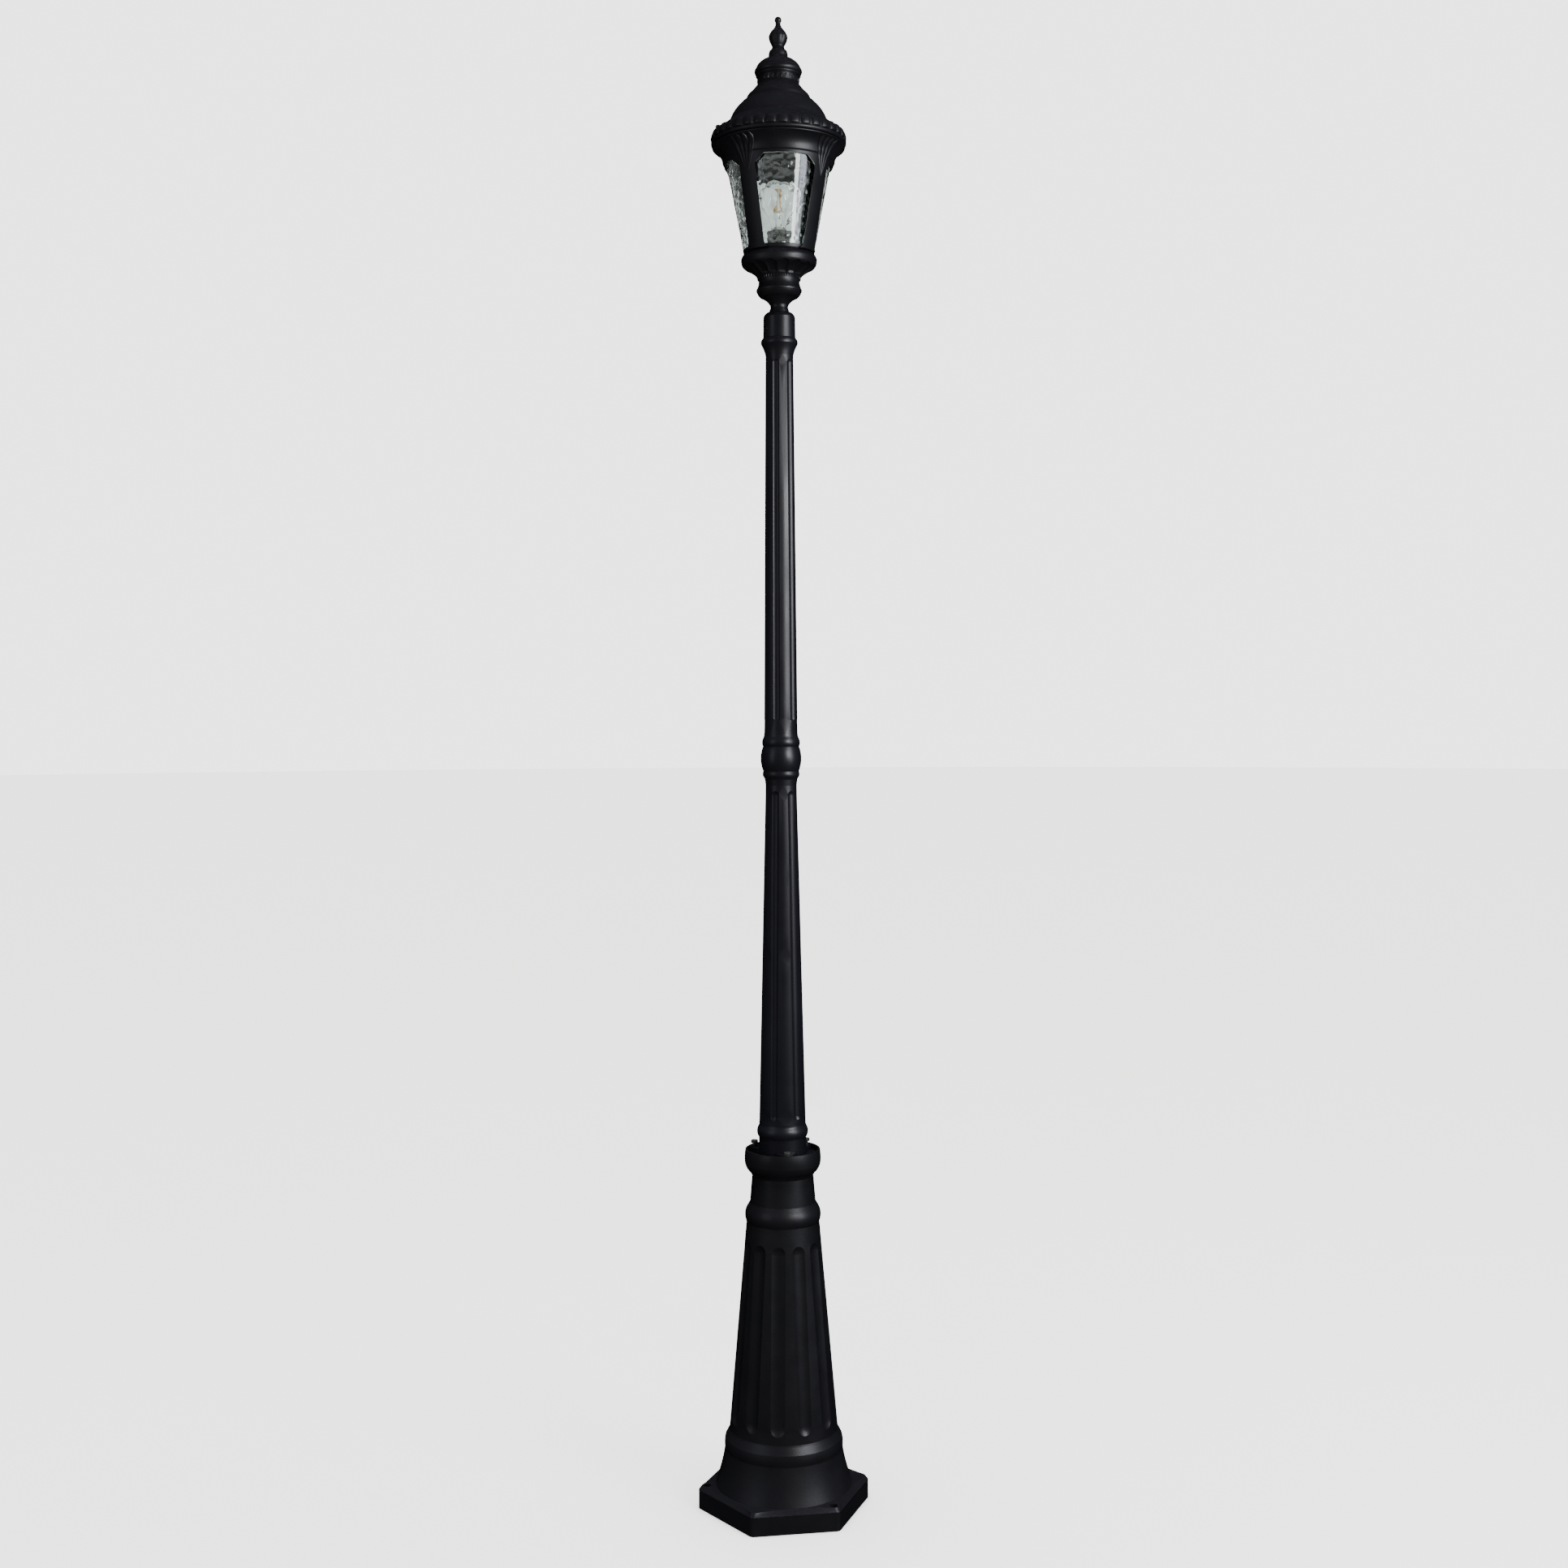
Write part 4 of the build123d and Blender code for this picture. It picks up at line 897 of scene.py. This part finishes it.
@dataclass
class Finial(Casting):
    """The cast finial: a flared foot, a lobed onion and a ball."""

    node: ClassVar[str] = "finial"
    lobes: int = 8
    lobe_depth: float = 0.85
    ball_radius: float = 5.4
    ball_neck: float = 4.1
    rod_radius: float = 4.05
    socket_depth: float = 21.0
    onion_foot: float = 23.0
    onion_head: float = 48.0

    def lobed(self, angle: float, radius: float, height: float) -> Point:
        """Draw the onion in between its lobes; takes an angle, a radius and a height."""
        share = (height - self.foot - self.onion_foot) / (self.onion_head - self.onion_foot)
        if radius < self.rod_radius + 1 or not 0 < share < 1:
            return (radius, height)
        swell = abs(math.cos(self.lobes / 2 * angle)) ** 0.7
        return (radius - self.lobe_depth * math.sin(math.pi * share) * (1 - swell), height)

    def build(self) -> None:
        """Build the finial and put it in the CAD finial's place."""
        foot, top, rod = self.foot, self.top, self.rod_radius
        ball_centre = top - self.ball_radius
        ball_foot = ball_centre - math.sqrt(self.ball_radius**2 - self.ball_neck**2)
        half_sweep = math.pi / 4 + math.acos(self.ball_neck / self.ball_radius) / 2
        ball_bow = self.ball_radius * (1 - math.cos(half_sweep))
        finial = Turning("lantern_finial", [
            (rod, foot, 0),
            (21, foot, -1.6),
            (15, foot + 7, 0.4),
            (13.4, foot + 14.5, -0.9),
            (9.4, foot + 21, 0),
            (9.6, foot + 22.5, 1.1),
            (14.8, foot + 36.5, 0.8),
            (9.1, foot + 47, -0.6),
            (self.ball_neck, foot + 55, 0),
            (self.ball_neck, ball_foot, ball_bow),
            (0, top, 0),
            (0, foot + self.socket_depth, 0),
            (rod, foot + self.socket_depth, 0),
        ], columns=128, corner=0.4, arc_steps=16, relief=self.lobed).build()
        stand_for(finial, Body.ROOF, Slot.BLACK_POWDER_COAT, "finial")


# ---------------------------------------------------------------- lantern: cage
@dataclass
class Cage(Casting):
    """The cast cage: four leaning posts with leaf capitals, a foot ring and a flared crown."""

    node: ClassVar[str] = "lantern_cage"
    foot_radius: float = 54.0
    head_radius: float = 86.0
    glass_gap: float = 0.3
    wall: float = 4.0
    post_width: float = 20.0
    crown_height: float = 27.0
    crown_radius: float = 103.0
    crown_bore: float = 84.3
    crown_bow: float = -3.9
    ring_radius: float = 44.0
    ring_height: float = 6.0
    rib_width: float = 6.0
    rib_inset: float = 3.9
    window_chamfer: float = 12.0
    window_corner: float = 12.0
    leaves: int = 4
    leaf_drop: float = 54.0
    leaf_foot_spread: float = 1.6
    leaf_head_spread: float = 35.0
    leaf_width: float = 12.4
    leaf_height: float = 2.5
    leaf_inset: float = 2.6
    screw_circle: float = 94.0
    screw_hole: float = 2.1
    screw_hole_depth: float = 4.5
    neck_step: float = 1.8
    rim_land: float = 1.5

    @property
    def slope(self) -> float:
        """Growth of the glass cone's radius with height."""
        return (self.head_radius - self.foot_radius) / (self.top - self.foot)

    @property
    def crown_floor(self) -> float:
        """Level where the crown's flare starts."""
        return self.top - self.crown_height

    def glass_radius(self, height: float) -> float:
        """Outside radius of the glass cone at a height."""
        return self.foot_radius + (height - self.foot) * self.slope

    def flare(self) -> list[Point]:
        """Points of the crown's concave outside, from its foot up."""
        neck = self.glass_radius(self.crown_floor) + self.glass_gap + self.wall
        rim = (self.crown_radius, self.top - self.rim_land)
        return bowed_edge((neck + self.neck_step, self.crown_floor + 2), rim, self.crown_bow, 12) + [rim]

    def outer_radius(self, height: float) -> float:
        """Outside radius of the cage at a height, on the posts and on the crown."""
        flare = self.flare()
        if height < flare[0][1]:
            return self.glass_radius(height) + self.glass_gap + self.wall
        for low, high in zip(flare, flare[1:]):
            if height <= high[1]:
                return low[0] + (high[0] - low[0]) * (height - low[1]) / (high[1] - low[1])
        return self.crown_radius

    def window(self) -> bpy.types.Object:
        """Make the cutter of one window, on the +X side, with dished lower and cut upper corners.

        Returns:
            The cutter as a closed object.
        """
        half = math.sin(math.radians(45))
        foot = (self.foot_radius + self.wall) * half - self.post_width / 2
        head = self.glass_radius(self.crown_floor) * half - self.post_width / 2
        low, high = self.foot - 1, self.crown_floor - 4
        side: list[Point] = []
        for step in range(7):
            angle = math.pi / 2 * step / 6
            side.append((
                foot - self.window_corner * (1 - math.sin(angle)),
                low + self.window_corner * (1 - math.cos(angle))))
        cut = self.window_chamfer
        side += [(head - 0.8, high - cut - 1.6), (head - 1.4, high - cut), (head - cut, high - 1.2),
                 (head - cut - 1.6, high)]
        outline = side + [(-y, z) for y, z in reversed(side)]
        verts = [(x, y, z) for x in (30.0, self.crown_radius + 20) for y, z in outline]
        return make_object("cage_window", verts, prism_faces(len(outline)))

    def shell(self) -> bpy.types.Object:
        """Turn the leaning shell and its crown, and cut the windows and the screw holes.

        Returns:
            The four posts and the crown in one piece.
        """
        foot = self.foot_radius + self.glass_gap
        bore_start = self.foot + (self.crown_bore - foot) / self.slope
        neck = self.glass_radius(self.crown_floor) + self.glass_gap + self.wall
        shell = Turning("cage_shell", [
            (foot, self.foot, 0),
            (foot + self.wall, self.foot, 0),
            (neck, self.crown_floor, 0),
            (neck + self.neck_step, self.crown_floor + 2, self.crown_bow),
            (self.crown_radius, self.top - self.rim_land, 0),
            (self.crown_radius, self.top, 0),
            (self.crown_bore, self.top, 0),
            (self.crown_bore, bore_start, 0),
        ], columns=192, corner=0.6).build()
        carve(shell, repeat_round(self.window(), 4, 0.0, COATED_CASTING))
        low = self.top - self.screw_hole_depth
        holes = screw_bars("crown_holes", self.screw_circle, self.screw_hole, low, self.top + 1)
        return carve(shell, holes)

    def leaf(self, share: float) -> bpy.types.Object:
        """Make one leaf of the capital on the +X side.

        Args:
            share: Its place across the capital, from -1 to 1.

        Returns:
            The leaf: pointed at its foot, swelling upwards, with a rounded tip.
        """
        steps = 16
        path = []
        sizes = []
        for step in range(steps + 1):
            run = step / steps
            height = self.top - self.leaf_inset - self.leaf_drop * (1 - run)
            spread = self.leaf_foot_spread + (self.leaf_head_spread - self.leaf_foot_spread) * run
            aside = share * spread / 2
            radius = self.outer_radius(height)
            angle = aside / radius
            path.append(Vector((radius * math.cos(angle), radius * math.sin(angle), height)))
            swell = 0.05 + 0.95 * run**0.9
            tip = math.sqrt(max(0.02, 1 - max(0.0, (run - 0.84) / 0.16) ** 2))
            rise = 0.08 + 0.92 * run**0.6
            sizes.append((self.leaf_width / 2 * swell * tip, self.leaf_height * rise * tip))
        return sweep_rod(
            "cage_leaf", path, sizes, lambda spot: Vector((spot.x, spot.y, -0.25 * spot.x)), sides=12)

    def rib(self) -> bpy.types.Object:
        """Make the rib behind one post, on the +X side, that the glass clips are screwed to."""
        low, high = self.foot + 1, self.top - 16
        corners = [
            (self.glass_radius(low) - self.rib_inset, low), (self.glass_radius(low) + 1, low),
            (self.glass_radius(high) + 1, high), (self.glass_radius(high) - self.rib_inset, high)]
        outline = soften(corners, 0.8)
        half = self.rib_width / 2
        verts = [(r, y, z) for y in (-half, half) for r, z in outline]
        return make_object("cage_rib", verts, prism_faces(len(outline)))

    def build(self) -> None:
        """Build the cage and put it in the CAD cage's place."""
        ring_top = self.foot + self.ring_height
        ring = Turning("cage_ring", [
            (self.ring_radius, self.foot, 0),
            (self.glass_radius(self.foot) + 0.6, self.foot, 0),
            (self.glass_radius(ring_top) + 0.6, ring_top, 0),
            (self.ring_radius, ring_top, 0),
        ], columns=128, corner=0.5).build()
        shares = [2 * number / (self.leaves - 1) - 1 for number in range(self.leaves)]
        capital = join("cage_capital", [self.leaf(share) for share in shares])
        capitals = repeat_round(capital, 4, 45.0, COATED_CASTING)
        ribs = repeat_round(self.rib(), 4, 45.0, COATED_CASTING)
        cage = smooth(join("lantern_cage_casting", [self.shell(), ring, capitals, ribs]))
        stand_for(cage, Body.LAMP, Slot.BLACK_POWDER_COAT, "lantern_cage")


@dataclass
class WaterGlass:
    """The four curved panels of rippled glass, one for each side of the cage."""

    thickness: float = 3.0
    edge_offset: float = 4.0
    columns: int = 72
    rows: int = 90
    wave_mm: float = 15.0
    wave_height: float = 0.8
    cell_mm: float = 8.0
    cell_height: float = 0.8
    sides: dict[str, float] = field(default_factory=lambda: {
        "front": -90.0, "right": 0.0, "back": 90.0, "left": 180.0})

    def ripple(self, spot: Vector) -> float:
        """Depth of the rolled ripple under the glass's inner face; the outer face is smooth.

        Args:
            spot: The point, in millimetres.

        Returns:
            The depth below the true face, never negative.
        """
        wave = noise.noise(spot / self.wave_mm)
        near = noise.voronoi(spot / self.cell_mm + Vector((wave, wave, wave)) * 0.4)[0][0]
        return self.wave_height * (1 + wave) / 2 + self.cell_height * min(near, 1.0)

    def panel(self, side_name: str, facing_degrees: float, cage: Cage) -> bpy.types.Object:
        """Make one panel.

        Args:
            side_name: The side's name.
            facing_degrees: The direction that it faces.
            cage: The cage that it stands in.

        Returns:
            The panel as a closed object.
        """
        node = f"glass_panel_{side_name}"
        low, high = level_of(node), level_of(node, top=True)
        facing = math.radians(facing_degrees)
        verts = []
        for layer in (0, 1):
            for row in range(self.rows + 1):
                height = low + (high - low) * row / self.rows
                radius = cage.glass_radius(height)
                half = math.pi / 4 - math.asin(self.edge_offset / radius)
                for column in range(self.columns + 1):
                    angle = facing + half * (2 * column / self.columns - 1)
                    out = Vector((math.cos(angle), math.sin(angle), 0))
                    face = out * radius + Vector((0, 0, height))
                    reach = radius if layer == 0 else radius - self.thickness + self.ripple(face)
                    verts.append(out * reach + Vector((0, 0, height)))
        faces = layered_faces(self.columns + 1, self.rows + 1)
        return smooth(make_object(f"water_glass_{side_name}", verts, faces), 40)

    def build(self, cage: Cage) -> None:
        """Build the panels and put them in the CAD panels' places."""
        for side_name, facing in self.sides.items():
            panel = self.panel(side_name, facing, cage)
            stand_for(panel, Body.LAMP, Slot.WATER_GLASS, f"glass_panel_{side_name}")


# ---------------------------------------------------------------- lantern: bowl
@dataclass
class Bowl(Casting):
    """The cast bowl under the cage, with sixteen arched flutes round its cove and a band of ticks."""

    node: ClassVar[str] = "lantern_bowl"
    flutes: int = 16
    flute_depth: float = 2.6
    flute_share: float = 0.86
    flute_foot: float = 35.2
    flute_head: float = 56.6
    edge_softness: float = 1.2
    cove_foot: float = 33.6
    cove_slope: float = 0.765
    sink_in: float = 0.61
    sink_up: float = 0.79
    ticks: int = 48
    tick_width: float = 1.9
    tick_height: float = 0.9
    mouth_radius: float = 44.0
    rim_radius: float = 58.9
    pipe_bore: float = 6.7
    core_radius: float = 21.0

    def fluted(self, angle: float, radius: float, height: float) -> Point:
        """Sink the flutes into the cove; takes an angle, a radius and a height."""
        cove = self.foot + 30 + self.cove_slope * (radius - self.cove_foot)
        outside = height < cove + 4 or radius > self.mouth_radius + 1
        if not self.flute_foot < radius < self.flute_head or not outside or height > self.top - 13:
            return (radius, height)
        pitch = 2 * math.pi / self.flutes
        across = 2 * ((angle / pitch + 0.5) % 1) - 1
        across /= self.flute_share
        if abs(across) >= 1:
            return (radius, height)
        half_width = math.pi * radius / self.flutes * self.flute_share
        arch = self.flute_head - half_width * (1 - math.sqrt(1 - across**2))
        edge = min(max(0.0, arch - radius), radius - self.flute_foot)
        ends = min(1.0, edge / self.edge_softness)
        depth = self.flute_depth * math.sqrt(1 - across**2) * ends * min(1.0, radius / 50)
        return (radius - self.sink_in * depth, height + self.sink_up * depth)

    def tick(self) -> bpy.types.Object:
        """Make one tick of the band under the flutes, on the +X side."""
        low, high = self.foot + 26.5, self.foot + 32.0
        path = [Vector((33.1, 0, low + (high - low) * step / 4)) for step in range(5)]
        shares = [0.5, 0.95, 1.0, 0.95, 0.5]
        sizes = [(self.tick_width / 2 * share, self.tick_height * share) for share in shares]
        return sweep_rod("bowl_tick", path, sizes, lambda spot: Vector((1, 0, 0)), sides=6)

    def build(self) -> None:
        """Build the bowl and put it in the CAD bowl's place."""
        base, top, rim, mouth = self.foot, self.top, self.rim_radius, self.mouth_radius
        floor = base + 39
        body = Turning("bowl_body", [
            (self.core_radius, base, 0),
            (29.3, base, 0.6),
            (34.6, base + 7.5, 1.0),
            (34.2, base + 13, 0),
            (32.8, base + 17, -1.5),
            (self.cove_foot, base + 30, -1.5),
            (rim - 7, top - 22, 1.4),
            (rim - 0.6, top - 14, 0.2),
            (rim, top - 9, 0.8),
            (54, top, 0),
            (mouth, top, 0),
            (mouth, top - 16, 0),
            (mouth - 14, floor, 0),
            (self.pipe_bore, floor, 0),
            (self.pipe_bore, floor - 8, 0),
            (self.core_radius, floor - 20, 0),
        ], columns=self.flutes * 18, corner=0.5, arc_steps=20, relief=self.fluted).build()
        ticks = repeat_round(self.tick(), self.ticks, 0.0, COATED_CASTING)
        bowl = smooth(join("lantern_bowl_casting", [body, ticks]), 28)
        stand_for(bowl, Body.LAMP, Slot.BLACK_POWDER_COAT, "lantern_bowl")


# ---------------------------------------------------------------- studio
@dataclass
class SoftBox:
    """A rectangular studio lamp that points at one spot; lengths in metres."""

    name: str
    place: tuple[float, float, float]
    aim: tuple[float, float, float]
    width: float
    height: float
    power: float
    colour: str = "#ffffff"

    def build(self) -> None:
        """Add the lamp to the scene."""
        light = bpy.data.lights.new(self.name, "AREA")
        light.shape = "RECTANGLE"
        light.size = self.width
        light.size_y = self.height
        light.energy = self.power
        light.color = linear(self.colour)[:3]
        lamp = link(self.name, light)
        lamp.location = self.place
        lamp.rotation_euler = (Vector(self.aim) - Vector(self.place)).to_track_quat("-Z", "Y").to_euler()


@dataclass
class Studio:
    """The camera, the soft lights, the pale surroundings and the floor; lengths in metres."""

    azimuth_degrees: float = -8.5
    distance: float = 2.89
    eye_height: float = 1.22
    roll_degrees: float = -0.235
    lens_mm: float = 42.85
    shift_right: float = 0.002
    shift_up: float = -0.0445
    floor_radius: float = 40.0
    surroundings: str = "#ffffff"
    backdrop_strength: float = 3.2
    ambient_strength: float = 0.9
    overhead_strength: float = 7.8
    overhead_spread_degrees: float = 50.0
    lights: list[SoftBox] = field(default_factory=lambda: [
        SoftBox("key_softbox", (2.3, -2.0, 2.2), (0, 0, 1.5), 0.8, 2.8, 55, "#eef0ff"),
        SoftBox("fill_softbox", (-2.8, -1.6, 1.8), (0, 0, 1.2), 1.2, 2.4, 9, "#eef0ff"),
        SoftBox("strip_softbox", (1.35, -2.0, 1.82), (0, 0, 2.0), 0.42, 0.9, 30),
    ])

    def camera(self) -> None:
        """Stand the camera a little to the left of the front, level, at chest height."""
        lens = bpy.data.cameras.new("camera")
        lens.lens = self.lens_mm
        lens.sensor_width = 36.0
        lens.shift_x = self.shift_right
        lens.shift_y = self.shift_up
        camera = link("camera", lens)
        turn = math.radians(self.azimuth_degrees)
        camera.location = (
            self.distance * math.sin(turn), -self.distance * math.cos(turn), self.eye_height)
        level = Matrix.Rotation(turn, 4, "Z") @ Matrix.Rotation(math.pi / 2, 4, "X")
        roll = Matrix.Rotation(math.radians(self.roll_degrees), 4, "Z")
        camera.rotation_euler = (level @ roll).to_euler()
        bpy.context.scene.camera = camera

    def world(self) -> None:
        """Surround the lamp with an even pale light, brighter as a backdrop than as a light."""
        world = bpy.data.worlds.new("studio_surroundings")
        world.use_nodes = True
        tree = world.node_tree
        tree.nodes.clear()
        colour = linear(self.surroundings)
        ambient = add_node(tree, "ShaderNodeBackground", inputs={
            "Color": colour, "Strength": self.ambient_strength})
        backdrop = add_node(tree, "ShaderNodeBackground", inputs={
            "Color": colour, "Strength": self.backdrop_strength})
        direct = add_node(tree, "ShaderNodeLightPath").outputs["Is Camera Ray"]
        both = add_node(tree, "ShaderNodeMixShader", inputs={
            0: direct, 1: ambient.outputs["Background"], 2: backdrop.outputs["Background"]})
        add_node(tree, "ShaderNodeOutputWorld", inputs={"Surface": both.outputs["Shader"]})
        world.cycles_visibility.glossy = False
        bpy.context.scene.world = world

    def overhead(self) -> None:
        """Light the floor evenly from straight above; it isn't mirrored in the coat."""
        light = bpy.data.lights.new("overhead_light", "SUN")
        light.energy = self.overhead_strength
        light.angle = math.radians(self.overhead_spread_degrees)
        link("overhead_light", light).visible_glossy = False

    def floor(self) -> None:
        """Lay a round pale floor at the ground."""
        sides = 96
        radius = self.floor_radius / MM
        verts = [(0.0, 0.0, 0.0)]
        for side in range(sides):
            angle = 2 * math.pi * side / sides
            verts.append((radius * math.cos(angle), radius * math.sin(angle), 0.0))
        faces = [(0, side + 1, (side + 1) % sides + 1) for side in range(sides)]
        floor = make_object("studio_floor", verts, faces)
        dress(floor, STUDIO_FLOOR)
        floor.visible_glossy = False
        floor.visible_diffuse = False

    def build(self) -> None:
        """Set the whole stage."""
        self.camera()
        self.world()
        self.overhead()
        self.floor()
        for light in self.lights:
            light.build()


# ---------------------------------------------------------------- CAD nodes that stay
@dataclass
class CarriedOver:
    """The CAD nodes that keep their own mesh and take a finish."""

    posts: tuple[str, ...] = ("lower_post", "upper_post", "coupling_ball", "lantern_fitter")

    def build(self) -> None:
        """Dress every CAD node by its slot in the record, and the posts in their smoother coat."""
        slots = {part["node"]: Slot(part["material_slot"]) for part in frame["record"]["subparts"]}
        for name, node in frame["nodes"].items():
            dress(node, COATED_POST if name in self.posts else SLOT_FINISH[slots[name]])
        LOG.info("dressed %d CAD nodes", len(frame["nodes"]))


def main() -> None:
    """Build the lamp's pieces and its studio in order."""
    logging.basicConfig(level=logging.INFO, format="%(name)s: %(message)s")
    CarriedOver().build()
    cage = Cage()
    cage.build()
    WaterGlass().build(cage)
    Bowl().build()
    Roof().build()
    ChimneyCap().build()
    Finial().build()
    Studio().build()


if __name__ == "__main__":
    main()
